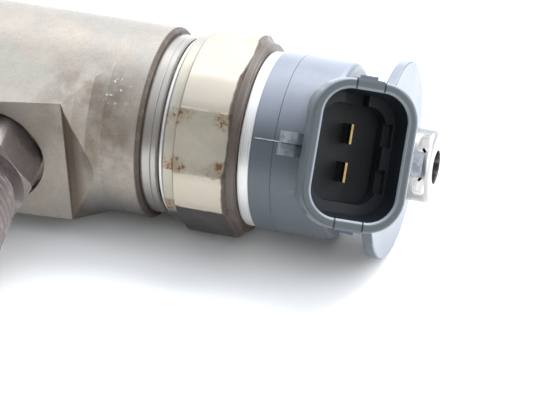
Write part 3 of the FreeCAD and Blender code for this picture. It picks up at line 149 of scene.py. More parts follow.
# Marks on the surfaces
STAIN_BY_BOSS = Vector((118, -10.5, 9.5)) * MM
STAIN_BELOW_BOSS = Vector((121, -13.5, 4)) * MM
RUN_OUT_DARK_X = mm(114.4, 114.9), mm(116.2, 118.6)    # where the brown stain and painted shade at the milled flat's run-out fade in and out
CHIPS_PLACE = Vector((121.5, -9, 11.5)) * MM


# ---------------------------------------------------------------- shader helpers


class Shader:
    """A material under construction: a principled surface and the nodes that feed it."""

    def __init__(self, name, tone=TONE):
        self.tone = tone
        self.material = bpy.data.materials.new(name)
        self.material.use_nodes = True
        self.tree = self.material.node_tree
        self.surface = self.tree.nodes["Principled BSDF"]
        self.place = self.tree.nodes.new("ShaderNodeTexCoord").outputs["Object"]
        self.height = None

    def node(self, kind, **settings):
        made = self.tree.nodes.new(kind)
        for name, value in settings.items():
            setattr(made, name, value)
        return made

    def feed(self, socket, value):
        """Sets a socket to a number or a colour, or links another node's output to it."""
        if isinstance(value, bpy.types.NodeSocket):
            self.tree.links.new(value, socket)
        else:
            socket.default_value = value

    def math(self, operation, first, second=0.0):
        made = self.node("ShaderNodeMath", operation=operation)
        self.feed(made.inputs[0], first)
        self.feed(made.inputs[1], second)
        return made.outputs[0]

    def product(self, first, *others):
        for other in others:
            first = self.math("MULTIPLY", first, other)
        return first

    def stretched(self, stretch):
        """Places scaled by a factor for each axis, so that a noise gets longer one way."""
        made = self.node("ShaderNodeMapping")
        self.feed(made.inputs["Vector"], self.place)
        made.inputs["Scale"].default_value = stretch
        return made.outputs[0]

    def noise(self, scale, detail=3.0, roughness=0.6, stretch=None):
        made = self.node("ShaderNodeTexNoise")
        self.feed(made.inputs["Vector"], self.stretched(stretch) if stretch else self.place)
        made.inputs["Scale"].default_value = scale
        made.inputs["Detail"].default_value = detail
        made.inputs["Roughness"].default_value = roughness
        return made.outputs[0]

    def cells(self, scale):
        made = self.node("ShaderNodeTexVoronoi")
        self.feed(made.inputs["Vector"], self.place)
        made.inputs["Scale"].default_value = scale
        return made.outputs["Distance"]

    def band(self, value, low, high, start=0.0, end=1.0):
        """A smooth step of the value from start at low to end at high."""
        made = self.node("ShaderNodeMapRange", interpolation_type="SMOOTHSTEP")
        self.feed(made.inputs["Value"], value)
        made.inputs["From Min"].default_value = low
        made.inputs["From Max"].default_value = high
        made.inputs["To Min"].default_value = start
        made.inputs["To Max"].default_value = end
        return made.outputs[0]

    def between(self, value, rise, fall):
        """One between two smooth steps and nothing outside them; a step is (its start, its end)."""
        return self.product(self.band(value, *rise), self.band(value, *fall, 1.0, 0.0))

    def mix(self, factor, first, second):
        """A blend of two colours, each from a node or given as numbers, which TONE scales."""
        made = self.node("ShaderNodeMix", data_type="RGBA")
        self.feed(made.inputs[0], factor)
        for socket, value in ((made.inputs[6], first), (made.inputs[7], second)):
            if not isinstance(value, bpy.types.NodeSocket):
                value = (*scaled(value, self.tone), 1.0)
            self.feed(socket, value)
        return made.outputs[2]

    def along(self, axis):
        """The place along an axis of the object."""
        made = self.node("ShaderNodeSeparateXYZ")
        self.feed(made.inputs[0], self.place)
        return made.outputs[axis]

    def near(self, centre, inner, outer):
        """One close to a point and nothing far from it."""
        made = self.node("ShaderNodeVectorMath", operation="DISTANCE")
        self.feed(made.inputs[0], self.place)
        made.inputs[1].default_value = centre
        return self.band(made.outputs["Value"], inner, outer, 1.0, 0.0)

    def offset_along(self, origin, direction):
        """Distance from a point, measured along a direction."""
        made = self.node("ShaderNodeVectorMath", operation="SUBTRACT")
        self.feed(made.inputs[0], self.place)
        made.inputs[1].default_value = origin
        dot = self.node("ShaderNodeVectorMath", operation="DOT_PRODUCT")
        self.feed(dot.inputs[0], made.outputs[0])
        dot.inputs[1].default_value = direction
        return dot.outputs["Value"]

    def facing(self, axis):
        """The part of the surface's direction along an axis, from -1 to 1."""
        made = self.node("ShaderNodeSeparateXYZ")
        self.feed(made.inputs[0], self.node("ShaderNodeTexCoord").outputs["Normal"])
        return made.outputs[axis]

    def from_corner(self, sides):
        """Nothing at the corners of a prism round the axis that rests on a side, one at mid-side."""
        made = self.node("ShaderNodeSeparateXYZ")
        self.feed(made.inputs[0], self.place)
        towards_inlet = self.math("MULTIPLY", made.outputs["Y"], -1.0)
        clock = self.math("ARCTAN2", towards_inlet, made.outputs["Z"])
        turns = self.math("ADD", self.math("MULTIPLY", clock, sides / math.tau), float(sides))
        from_middle = self.math("SUBTRACT", self.math("FRACT", turns), 0.5)
        return self.math("MULTIPLY", self.math("ABSOLUTE", from_middle), 2.0)

    def radius(self):
        """Distance from the injector's axis."""
        made = self.node("ShaderNodeVectorMath", operation="MULTIPLY")
        self.feed(made.inputs[0], self.place)
        made.inputs[1].default_value = (0, 1, 1)
        length = self.node("ShaderNodeVectorMath", operation="LENGTH")
        self.feed(length.inputs[0], made.outputs[0])
        return length.outputs["Value"]

    def bump(self, height, distance, strength=1.0):
        """Adds a fine relief on top of those before it."""
        made = self.node("ShaderNodeBump")
        made.inputs["Strength"].default_value = strength
        made.inputs["Distance"].default_value = distance
        self.feed(made.inputs["Height"], height)
        if self.height is not None:
            self.feed(made.inputs["Normal"], self.height)
        self.height = made.outputs[0]
        self.feed(self.surface.inputs["Normal"], self.height)

    def finish(self, colour, roughness, metallic=None):
        self.feed(self.surface.inputs["Base Color"], colour)
        self.feed(self.surface.inputs["Roughness"], roughness)
        if metallic is not None:
            self.feed(self.surface.inputs["Metallic"], metallic)
        return self.material


def scaled(colour, factor):
    return tuple(min(1.0, channel * factor) for channel in colour)


def turned_metal(name, colour, roughness, line_depth=0.004 * MM, metallic=1.0, stain=(0.25, 0.17, 0.10)):
    """Metal with fine lathe lines round the injector's axis and a little tarnish."""
    shader = Shader(name)
    lines = shader.noise(1.0, detail=2.0, stretch=(9000, 40, 40))
    cloud = shader.noise(260, detail=4.0)
    tarnish = shader.band(shader.noise(90, detail=5.0), 0.58, 0.75, 0.0, 0.35)
    toned = shader.mix(cloud, scaled(colour, 0.86), scaled(colour, 1.1))
    shader.bump(lines, line_depth)
    shade = shader.mix(tarnish, toned, stain)
    gloss = shader.band(lines, 0.3, 0.7, roughness * 0.75, roughness * 1.3)
    return shader.finish(shade, gloss, metallic)


def grained(name, colour, roughness, metallic, grain_scale, grain_depth, variation=0.15):
    """A surface with an even grain, such as moulded plastic, ground iron or rubber."""
    shader = Shader(name)
    cloud = shader.noise(200, detail=4.0)
    grain = shader.noise(grain_scale, detail=2.0)
    toned = shader.mix(cloud, scaled(colour, 1 - variation), scaled(colour, 1 + variation))
    shader.bump(grain, grain_depth)
    gloss = shader.band(grain, 0.3, 0.7, roughness * 0.85, roughness * 1.15)
    return shader.finish(toned, gloss, metallic)


# ---------------------------------------------------------------- materials


def forged_body():
    """Blasted grey forging with brown stains by the inlet boss, small bright chips, and painted shade on its
    faces turned down, at its step and, with a brown stain, on the milled flat's run-out.
    """
    shader = Shader("forged_body")
    warm, cool, stain = (0.475, 0.42, 0.355), (0.41, 0.39, 0.35), (0.17, 0.115, 0.075)
    bare, turned = (0.8, 0.79, 0.77), (0.46, 0.43, 0.39)
    # The first of these two colours paints shade at the body's step, the second paints shade on faces turned
    # down.
    dirt, down_face_shade = (0.10, 0.075, 0.06), (0.035, 0.035, 0.04)
    cloud = shader.noise(110, detail=5.0, roughness=0.65)
    patch = shader.noise(420, detail=4.0, roughness=0.7)
    fine = shader.noise(3200, detail=2.0)
    pits = shader.band(shader.cells(1500), 0.05, 0.22, 1.0, 0.0)
    ground = shader.mix(shader.band(cloud, 0.35, 0.65), cool, warm)
    ground = shader.mix(shader.band(patch, 0.3, 0.7, 0.0, 0.35), ground, scaled(warm, 0.72))
    place_x = shader.along("X")
    by_boss = shader.near(STAIN_BY_BOSS, *mm(3, 11))
    below_boss = shader.near(STAIN_BELOW_BOSS, *mm(2, 8))
    blotch = shader.band(shader.noise(260, detail=5.0, roughness=0.6), 0.34, 0.66)
    blotched = shader.product(blotch, shader.math("MAXIMUM", by_boss, below_boss), 0.6)
    # Brown stain and painted shade on the milled flat's run-out, less on faces turned up.
    run_out_stain_and_shade = shader.product(
        shader.between(place_x, *RUN_OUT_DARK_X),
        shader.band(shader.facing("Z"), 0.1, 0.75, 0.75, 0.0),
    )
    ground = shader.mix(shader.math("MAXIMUM", blotched, run_out_stain_and_shade), ground, stain)
    chips = shader.band(shader.noise(1500, detail=2.0), 0.62, 0.7)
    chips = shader.product(chips, shader.near(CHIPS_PLACE, *mm(1, 3.5)))
    ground = shader.mix(chips, ground, bare)
    ground = shader.mix(shader.product(pits, 0.35), ground, scaled(stain, 0.8))
    machined = shader.band(place_x, BODY_STEP_X + 0.05 * MM, BODY_STEP_X + 0.2 * MM)
    ground = shader.mix(machined, ground, turned)
    # Painted shade: a dark band just before the body's step, made uneven by a noise.
    at_step = shader.between(
        place_x,
        (BODY_STEP_X - 0.75 * MM, BODY_STEP_X - 0.45 * MM),
        (BODY_STEP_X + 0.1 * MM, BODY_STEP_X + 0.4 * MM),
    )
    step_shade = shader.product(at_step, shader.band(patch, 0.2, 0.5, 0.65, 0.95))
    ground = shader.mix(step_shade, ground, dirt)
    # Painted shade: faces turned down are made nearly black.
    below = shader.band(shader.facing("Z"), -0.95, 0.05, 0.95, 0.0)
    ground = shader.mix(below, ground, down_face_shade)
    rough_skin = shader.math("SUBTRACT", 1.0, machined)
    shader.bump(shader.product(patch, rough_skin), 0.04 * MM, 0.5)
    shader.bump(shader.product(fine, rough_skin), 0.018 * MM, 0.8)
    rough_gloss = shader.product(shader.band(fine, 0.3, 0.7, 0.42, 0.6), rough_skin)
    gloss = shader.math("ADD", rough_gloss, shader.product(machined, 0.32))
    return shader.finish(ground, gloss, 0.7)


def plated_nut():
    """Worn cream plating with rust speckles near its edges, a dark end collar, a bright line of wear and
    painted highlight along each flat's edge, and painted shade on its faces turned down.
    """
    shader = Shader("plated_nut")
    cream, grey = (0.59, 0.54, 0.43), (0.51, 0.485, 0.41)
    rust, rust_film = (0.235, 0.105, 0.045), (0.33, 0.24, 0.13)
    rubbed, worn_highlight = (0.68, 0.59, 0.48), (0.85, 0.78, 0.68)
    # The second colour on the next line paints shade on faces turned down.
    soot, down_face_shade = (0.075, 0.048, 0.038), (0.028, 0.022, 0.024)
    cloud = shader.noise(130, detail=5.0, roughness=0.65)
    patch = shader.noise(500, detail=4.0)
    place_x = shader.along("X")
    ground = shader.mix(shader.band(cloud, 0.35, 0.65), grey, cream)
    ground = shader.mix(shader.band(patch, 0.4, 0.75, 0.0, 0.3), ground, scaled(cream, 0.75))
    corner = shader.from_corner(6)
    on_flats = shader.band(shader.radius(), NUT_COLLAR_RADIUS + 0.1 * MM, NUT_COLLAR_RADIUS + 0.2 * MM)
    rounded = shader.product(shader.band(corner, NUT_FLAT_SHARE - 0.02, NUT_FLAT_SHARE, 1.0, 0.0), on_flats)
    ground = shader.mix(shader.product(rounded, 0.5), ground, rubbed)
    edge = nut_rust_zone(shader, corner, place_x)
    tinted = shader.product(edge, shader.band(cloud, 0.3, 0.6, 0.3, 0.8))
    ground = shader.mix(tinted, ground, rust_film)
    # Wear and a painted highlight: a bright line along the edge of each flat.
    line = shader.math("ABSOLUTE", shader.math("SUBTRACT", corner, NUT_FLAT_SHARE))
    line = shader.product(shader.band(line, 0.012, 0.03, 1.0, 0.0), on_flats)
    worn = shader.product(line, shader.band(patch, 0.4, 0.6, 0.15, 0.7))
    ground = shader.mix(worn, ground, worn_highlight)
    speckle = shader.band(shader.noise(900, detail=4.0, roughness=0.75), 0.50, 0.60)
    spots = shader.product(speckle, shader.band(cloud, 0.36, 0.5))
    ground = shader.mix(shader.product(spots, shader.band(edge, 0.08, 0.4)), ground, rust)
    # Painted shade: faces turned down are made nearly black.
    below = shader.band(shader.facing("Z"), -0.46, -0.3, 0.94, 0.0)
    ground = shader.mix(below, ground, down_face_shade)
    ragged = shader.product(shader.math("SUBTRACT", patch, 0.5), 0.5 * MM)
    cone_slope = NUT_CONE_LENGTH / (NUT_CORNER_RADIUS - NUT_COLLAR_RADIUS)
    cone = shader.product(shader.radius(), cone_slope)
    end_place = shader.math("ADD", shader.math("ADD", place_x, ragged), cone)
    cone_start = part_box("solenoid_nut")[1].x - NUT_END_COLLAR + cone_slope * NUT_COLLAR_RADIUS
    sooty = shader.band(end_place, cone_start - 0.25 * MM, cone_start, 0.0, 0.88)
    ground = shader.mix(sooty, ground, soot)
    shader.bump(patch, 0.03 * MM, 0.4)
    shader.bump(shader.noise(3000, detail=2.0), 0.01 * MM, 0.6)
    gloss = shader.band(cloud, 0.3, 0.7, 0.34, 0.5)
    return shader.finish(ground, gloss, shader.band(sooty, 0.0, 1.0, 0.5, 0.2))


def nut_rust_zone(shader, corner, place_x):
    """Where the nut rusts: by both ends of its lower flats, next to their long edges."""
    low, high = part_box("solenoid_nut")
    at_start = shader.band(place_x, low.x + 2.2 * MM, low.x + 4.4 * MM, 1.0, 0.2)
    at_end = shader.band(place_x, high.x - 4.5 * MM, high.x - 2 * MM, 0.2, 1.0)
    by_line = shader.product(
        shader.band(corner, NUT_FLAT_SHARE + 0.08, NUT_FLAT_SHARE + 0.4, 1.0, 0.12),
        shader.band(corner, NUT_FLAT_SHARE - 0.03, NUT_FLAT_SHARE + 0.02),
    )
    not_on_top = shader.band(shader.facing("Z"), 0.6, 0.8, 1.0, 0.15)
    uneven = shader.band(shader.noise(75, detail=2.0), 0.35, 0.55, 0.75, 1.0)
    return shader.product(shader.math("MAXIMUM", at_start, at_end), by_line, not_on_top, uneven)


def inlet_steel():
    """Brown-grey phosphated steel with brighter worn patches."""
    shader = Shader("inlet_fitting")
    brown, worn = (0.235, 0.20, 0.19), (0.42, 0.40, 0.385)
    cloud = shader.noise(220, detail=5.0, roughness=0.7)
    fine = shader.noise(2600, detail=2.0)
    ground = shader.mix(shader.band(cloud, 0.5, 0.72, 0.0, 0.8), brown, worn)
    ground = shader.mix(shader.band(fine, 0.62, 0.72, 0.0, 0.5), ground, scaled(brown, 0.5))
    shader.bump(fine, 0.01 * MM, 0.7)
    return shader.finish(ground, shader.band(cloud, 0.3, 0.7, 0.5, 0.3), 0.8)


def black_plastic():
    """Blue-grey weathered plastic with scuffs, a painted sheen and some dirt on faces turned up or to the side
    light, painted shade on faces turned down, a painted highlight round the socket's mouth, and an unweathered
    socket made nearly black as painted shade.
    """
    shader = Shader("black_plastic")
    # Of these, the first is unweathered plastic made nearly black as painted shade, and the third paints sheen
    # with a film of dirt.
    clean_and_shaded, weathered, pale_sheen_and_dust = (0.010, 0.015, 0.022), (0.105, 0.124, 0.145), (0.27, 0.295, 0.345)
    # The third colour on the next line paints a highlight round the socket's mouth.
    lug_edge, rim_top, lip_highlight = (0.36, 0.38, 0.42), (0.07, 0.085, 0.09), (0.30, 0.34, 0.37)
    cloud = shader.noise(150, detail=4.0)
    fine = shader.noise(3600, detail=2.0)
    up = shader.facing("Z")
    # Painted shade: the plastic is made a little darker on faces turned down.
    ground = shader.mix(shader.band(up, -0.9, 0.1), scaled(weathered, 0.8), weathered)
    # Painted sheen with a film of dirt: faces turned up or towards +X, where the key and side lights fall, are
    # made paler.
    lit = shader.math("MAXIMUM", shader.band(up, 0.6, 0.95), shader.band(shader.facing("X"), 0.7, 0.95))
    dust_and_sheen = shader.product(lit, shader.band(cloud, 0.25, 0.6, 0.75, 1.0))
    ground = shader.mix(dust_and_sheen, ground, pale_sheen_and_dust)
    scuff = shader.band(shader.noise(1.0, detail=4.0, stretch=(300, 1400, 1400)), 0.60, 0.74, 0.0, 0.5)
    ground = shader.mix(scuff, ground, scaled(weathered, 1.8))
    out, across, along_rim = connector_axes()
    height = shader.offset_along(rim_middle(), out)
    aside = shader.math("ABSOLUTE", shader.offset_along(rim_middle(), across))
    endways = shader.math("ABSOLUTE", shader.offset_along(rim_middle(), along_rim))
    beyond_wall = shader.math(
        "MAXIMUM", shader.band(aside, *mm(7.7, 8.3)), shader.band(endways, *mm(10.6, 11))
    )
    scraped = shader.band(shader.noise(1100, detail=3.0), 0.35, 0.6, 0.35, 0.9)
    on_lugs = shader.product(beyond_wall, shader.band(height, *mm(-7.6, -7.3)), scraped)
    ground = shader.mix(on_lugs, ground, lug_edge)
    outline = mouth_distance(shader, aside, endways)
    at_top = shader.band(height, *mm(-0.4, -0.2))
    on_rim = shader.product(at_top, shader.between(outline, mm(0.3, 0.5), mm(1.05, 1.35)))
    ground = shader.mix(on_rim, ground, rim_top)
    # Painted highlight: a pale line round the edge of the socket's mouth.
    lip_highlight_mask = shader.product(at_top, shader.band(outline, *mm(0.2, 0.4), 1.0, 0.0), 0.6)
    ground = shader.mix(lip_highlight_mask, ground, lip_highlight)
    # Unweathered plastic and painted shade: the inside of the socket is made nearly black.
    inside = shader.product(
        shader.between(height, mm(-12.9, -12.7), mm(-0.5, -0.2)),
        shader.band(aside, *mm(6.1, 6.3), 1.0, 0.0),
        shader.band(endways, *mm(9.05, 9.25), 1.0, 0.0),
    )
    ground = shader.mix(inside, ground, clean_and_shaded)
    shader.bump(fine, 0.012 * MM, 0.6)
    return shader.finish(ground, shader.band(cloud, 0.3, 0.7, 0.33, 0.43), 0.0)


def rim_middle():
    """The middle of the connector's rim."""
    return Vector((RIM_X, -RIM_OFFSET * math.sin(CONNECTOR_CLOCK), RIM_OFFSET * math.cos(CONNECTOR_CLOCK)))


def mouth_distance(shader, aside, endways):
    """How far a point is outside the rounded outline of the socket's mouth."""
    over = []
    for distance, half_size in ((aside, SOCKET_HALF_SIZE[0]), (endways, SOCKET_HALF_SIZE[1])):
        beyond = shader.math("SUBTRACT", distance, half_size - SOCKET_CORNER)
        over.append(shader.math("POWER", shader.math("MAXIMUM", beyond, 0.0), 2.0))
    reach = shader.math("SQRT", shader.math("ADD", over[0], over[1]))
    return shader.math("SUBTRACT", reach, SOCKET_CORNER)


def connector_axes():
    """Unit directions of the connector: out of its mouth, across its rim, and along its rim."""
    sin_tilt, cos_tilt = math.sin(CONNECTOR_TILT), math.cos(CONNECTOR_TILT)
    sin_clock, cos_clock = math.sin(CONNECTOR_CLOCK), math.cos(CONNECTOR_CLOCK)
    out = Vector((sin_tilt, -cos_tilt * sin_clock, cos_tilt * cos_clock))
    across = Vector((cos_tilt, sin_tilt * sin_clock, -sin_tilt * cos_clock))
    along_rim = Vector((0, cos_clock, sin_clock))
    return out, across, along_rim


def contact_gold():
    """Gold plating, with painted shade on the flanks inside the socket, so that only the tips stay bright."""
    shader = Shader("gold_blade")
    gold, flank_shade = (0.86, 0.62, 0.27), (0.055, 0.045, 0.035)
    cloud = shader.noise(700, detail=3.0)
    height = shader.offset_along(rim_middle(), connector_axes()[0])
    # Painted shade: the flanks deep inside the socket are made nearly black.
    shaded_flank = shader.between(height, mm(-12.9, -12.5), mm(-8.1, -7.8))
    plating = shader.mix(cloud, scaled(gold, 0.85), gold)
    ground = shader.mix(shader.product(shaded_flank, 0.9), plating, flank_shade)
    shader.bump(shader.noise(5000, detail=2.0), 0.002 * MM)
    return shader.finish(ground, shader.band(cloud, 0.3, 0.7, 0.22, 0.34), 1.0)


def union_metal():
    """Bright nickel plating with brown residue in the clip slots."""
    shader = Shader("bright_union")
    bright, residue = (0.47, 0.465, 0.455), (0.16, 0.085, 0.045)
    lines = shader.noise(1.0, detail=2.0, stretch=(8000, 60, 60))
    cloud = shader.noise(300, detail=4.0)
    end_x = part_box("return_union")[1].x
    in_slot = shader.band(shader.radius(), *mm(4.6, 5.2), 1.0, 0.0)
    outside = shader.band(shader.along("X"), end_x - 0.6 * MM, end_x - 0.1 * MM, 1.0, 0.0)
    dirt = shader.product(in_slot, outside, shader.band(cloud, 0.35, 0.6, 0.25, 0.85))
    ground = shader.mix(dirt, shader.mix(cloud, scaled(bright, 0.9), bright), residue)
    shader.bump(lines, 0.003 * MM)
    return shader.finish(ground, shader.band(lines, 0.3, 0.7, 0.24, 0.36), 1.0)


def all_materials():
    return {
        "hardened_steel": turned_metal("hardened_steel", (0.56, 0.565, 0.58), 0.26),
        "spring_steel": turned_metal("spring_steel", (0.33, 0.34, 0.37), 0.34),
        "retaining_nut": turned_metal("retaining_nut", (0.43, 0.42, 0.395), 0.36, 0.006 * MM),
        "copper": turned_metal("copper", (0.78, 0.42, 0.28), 0.3, stain=(0.25, 0.11, 0.06)),
        "forged_body": forged_body(),
        "inlet_fitting": inlet_steel(),
        "seal_metal": turned_metal("seal_metal", (0.62, 0.55, 0.42), 0.3),
        "ball_ceramic": grained("ball_ceramic", (0.09, 0.09, 0.10), 0.12, 0.0, 4000, 0.001 * MM),
        "soft_iron": grained("soft_iron", (0.33, 0.33, 0.34), 0.42, 0.9, 2600, 0.006 * MM),
        "bobbin_plastic": grained("bobbin_plastic", (0.66, 0.60, 0.49), 0.45, 0.0, 2500, 0.008 * MM),
        "coil_copper": turned_metal("coil_copper", (0.72, 0.33, 0.16), 0.22, 0.002 * MM),
        "polished_steel": turned_metal("polished_steel", (0.93, 0.92, 0.89), 0.36, 0.001 * MM, 0.5),
        "seal_rubber": grained("seal_rubber", (0.02, 0.02, 0.022), 0.5, 0.0, 3000, 0.008 * MM),
        "plated_nut": plated_nut(),
        "black_plastic": black_plastic(),
        "gold_blade": contact_gold(),
        "bright_union": union_metal(),
    }


# ---------------------------------------------------------------- mesh helpers


def new_piece(name, vertices, faces, material):
    """A smooth shaded object in the scene, with one material."""
    mesh = bpy.data.meshes.new(name)
    mesh.from_pydata(vertices, [], faces)
    mesh.validate()
    mesh.materials.append(material)
    mesh.update()
    piece = bpy.data.objects.new(name, mesh)
    bpy.context.scene.collection.objects.link(piece)
    smooth_shade(mesh)
    return piece


def smooth_shade(mesh, limit_degrees=28):
    """Smooth faces, with every edge sharper than the limit kept sharp."""
    mesh.polygons.foreach_set("use_smooth", [True] * len(mesh.polygons))
    mesh.set_sharp_from_angle(angle=math.radians(limit_degrees))


def soften_edges(piece, width):
    bevel = piece.modifiers.new("soft_edges", "BEVEL")
    bevel.width = width
    bevel.segments = 2
    bevel.limit_method = "ANGLE"
    bevel.angle_limit = math.radians(25)
    bevel.harden_normals = True


def tube_faces(loops, corners, closed):
    """Four-sided faces between neighbouring loops of points; a closed tube joins the last to the first."""
    faces = []
    for loop in range(loops if closed else loops - 1):
        following = (loop + 1) % loops
        for corner in range(corners):
            after = (corner + 1) % corners
            faces.append((
                loop * corners + corner,
                loop * corners + after,
                following * corners + after,
                following * corners + corner,
            ))
    return faces


def turned_grid(angles, outlines, placement):
    """A closed grid round an axis, with an outline of (along, radius) points at each angle."""
    vertices = []
    for angle, outline in zip(angles, outlines):
        for along, radius in outline:
            point = Vector((along, -radius * math.sin(angle), radius * math.cos(angle)))
            vertices.append(placement @ point)
    return vertices, tube_faces(len(angles), len(outlines[0]), closed=True)


def hexagon_radius(angle, across_flats):
    """Distance from the axis to a hexagon's side, with a flat at angle zero."""
    sector = math.radians(60)
    offset = (angle + sector / 2) % sector - sector / 2
    return across_flats / 2 / math.cos(offset)


def hexagon_angles(across_flats, corner_radius, flat_steps, corner_steps=4):
    """Angles round a hexagon, with one at each end of each rounded corner."""
    half_flat = math.acos(across_flats / 2 / corner_radius)
    half_sector = math.radians(30)
    angles = []
    for side in range(6):
        middle = side * 2 * half_sector
        for step in range(flat_steps):
            angles.append(middle - half_flat + 2 * half_flat * step / flat_steps)
        for step in range(corner_steps):
            angles.append(middle + half_flat + 2 * (half_sector - half_flat) * step / corner_steps)
    return angles


# ---------------------------------------------------------------- pieces


def nut_piece(material):
    """The solenoid nut with true chamfer arcs on its flats."""
    low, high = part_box("solenoid_nut")
    start, end = low.x, high.x
    lead_in = 0.5 * MM

    def outline(angle):
        radius = min(hexagon_radius(angle, NUT_ACROSS_FLATS), NUT_CORNER_RADIUS)
        cone = NUT_CONE_LENGTH * (radius - NUT_COLLAR_RADIUS) / (NUT_CORNER_RADIUS - NUT_COLLAR_RADIUS)
        return [
            (start, NUT_THREAD_RADIUS + lead_in),
            (start, NUT_COLLAR_RADIUS - NUT_EDGE),
            (start + NUT_EDGE, NUT_COLLAR_RADIUS),
            (start + NUT_START_COLLAR, NUT_COLLAR_RADIUS),
            (start + NUT_START_COLLAR + cone, radius),
            (end - NUT_END_COLLAR - cone, radius),
            (end - NUT_END_COLLAR, NUT_COLLAR_RADIUS),
            (end - NUT_EDGE, NUT_COLLAR_RADIUS),
            (end, NUT_COLLAR_RADIUS - NUT_EDGE),
            (end, NUT_HOLE_RADIUS),
            (end - NUT_SHOULDER, NUT_HOLE_RADIUS),
            (end - NUT_SHOULDER, NUT_THREAD_RADIUS),
            (start + lead_in, NUT_THREAD_RADIUS),
        ]

    angles = hexagon_angles(NUT_ACROSS_FLATS, NUT_CORNER_RADIUS, flat_steps=14)
    outlines = [outline(angle) for angle in angles]
    vertices, faces = turned_grid(angles, outlines, Matrix.Identity(4))
    piece = new_piece("solenoid_nut_detailed", vertices, faces, material)
    soften_edges(piece, NUT_BEVEL)
    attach(piece, "injector")
    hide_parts("solenoid_nut")


def inlet_placement():
    """From the inlet's own frame, in which its axis is +X, to its place on the injector."""
    outward = Vector((math.sin(INLET_TILT), -math.cos(INLET_TILT), 0))
    upward = Vector((0, 0, 1))
    across = upward.cross(outward)
    turn = Matrix((outward, across, upward)).transposed().to_4x4()
    return Matrix.Translation(INLET_CROSSING) @ turn


def thread_radius(along, angle):
    """Radius of the right-handed thread at a place along the inlet and round it."""
    turns = along / THREAD_PITCH + angle / math.tau
    from_crest = abs(2 * (turns % 1) - 1)
    depth = min(1.0, max(0.0, (from_crest - THREAD_FLAT) / (1 - 2 * THREAD_FLAT)))
    return INLET_THREAD_RADIUS - THREAD_DEPTH * depth


def inlet_piece(material):
    """The union that the high-pressure pipe screws on, with its hexagon and M14 x 1.5 thread."""
    face_radius = INLET_CORNER_RADIUS - 1 * MM
    thread_start = INLET_HEX_END + 1.6 * MM
    end_chamfer = 0.8 * MM
    seat_cone, thread_cone = mm(0.45, 0.55)
    steps = round((INLET_END - thread_start) / THREAD_PITCH * THREAD_STEPS)

    def outline(angle):
        radius = min(hexagon_radius(angle, INLET_ACROSS_FLATS), INLET_CORNER_RADIUS)
        rise = (radius - face_radius) / (INLET_CORNER_RADIUS - face_radius)
        points = [
            (INLET_SPIGOT_START, INLET_THROAT_RADIUS),
            (INLET_SPIGOT_START, INLET_SPIGOT_RADIUS - INLET_SPIGOT_CHAMFER),
            (INLET_SPIGOT_START + INLET_SPIGOT_CHAMFER, INLET_SPIGOT_RADIUS),
            (INLET_SEAT, INLET_SPIGOT_RADIUS),
            (INLET_SEAT, face_radius),
            (INLET_SEAT + seat_cone * rise, radius),
            (INLET_HEX_END - thread_cone * rise, radius),
            (INLET_HEX_END, face_radius),
            (INLET_HEX_END, INLET_RELIEF_RADIUS + 0.5 * MM),
            (INLET_HEX_END + 0.1 * MM, INLET_RELIEF_RADIUS),
            (thread_start - 0.4 * MM, INLET_RELIEF_RADIUS),
        ]
        for step in range(steps + 1):
            along = thread_start + (INLET_END - thread_start) * step / steps
            cut = min(along - thread_start, INLET_END - along) + INLET_THREAD_RADIUS - end_chamfer
            points.append((along, min(thread_radius(along, angle), cut)))
        points += [
            (INLET_END, INLET_CONE_RADIUS),
            (INLET_END - INLET_CONE_DEPTH, INLET_PASSAGE_RADIUS),
            (INLET_PASSAGE_END, INLET_PASSAGE_RADIUS),
            (INLET_PASSAGE_END, INLET_THROAT_RADIUS),
        ]
        return points

    angles = hexagon_angles(INLET_ACROSS_FLATS, INLET_CORNER_RADIUS, flat_steps=12)
    outlines = [outline(angle) for angle in angles]
    vertices, faces = turned_grid(angles, outlines, inlet_placement())
    piece = new_piece("inlet_fitting_threaded", vertices, faces, material)
    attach(piece, "injector")
    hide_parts("inlet_fitting")


def wire_section(middle_x, middle_radius, corners=6):
    """The (along, radius) outline of one wire of the coil."""
    points = []
    for corner in range(corners):
        around = math.tau * corner / corners
        points.append((
            middle_x + WIRE_RADIUS * math.cos(around),
            middle_radius + WIRE_RADIUS * math.sin(around),
        ))
    return points


def winding_piece(material):
    """The coil, as a stack of hoops of enamelled wire."""
    low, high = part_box("coil_winding")
    inner_radius, outer_radius = WINDING_RADII
    layers = int((outer_radius - inner_radius) / (2 * WIRE_RADIUS))
    turns = int((high.x - low.x) / (2 * WIRE_RADIUS))
    ring_steps = 48
    angles = [math.tau * step / ring_steps for step in range(ring_steps)]
    vertices, faces = [], []
    for layer in range(layers):
        for turn in range(turns):
            section = wire_section(
                low.x + (2 * turn + 1) * WIRE_RADIUS,
                inner_radius + (2 * layer + 1) * WIRE_RADIUS,
            )
            ring_vertices, ring_faces = turned_grid(angles, [section] * ring_steps, Matrix.Identity(4))
            first = len(vertices)
            vertices += ring_vertices
            faces += [tuple(first + index for index in face) for face in ring_faces]
    piece = new_piece("coil_turns", vertices, faces, material)
    smooth_shade(piece.data, 80)
    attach(piece, "injector")
    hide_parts("coil_winding")


def spring_piece(node, body):
    """A coil spring, copied from the CAD part onto a mesh of its own and fixed to a body in its place."""
    piece = bpy.data.objects.new(node + "_coil", NODES[node].data.copy())
    bpy.context.scene.collection.objects.link(piece)
    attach(piece, body)
    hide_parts(node)
    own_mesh(piece)


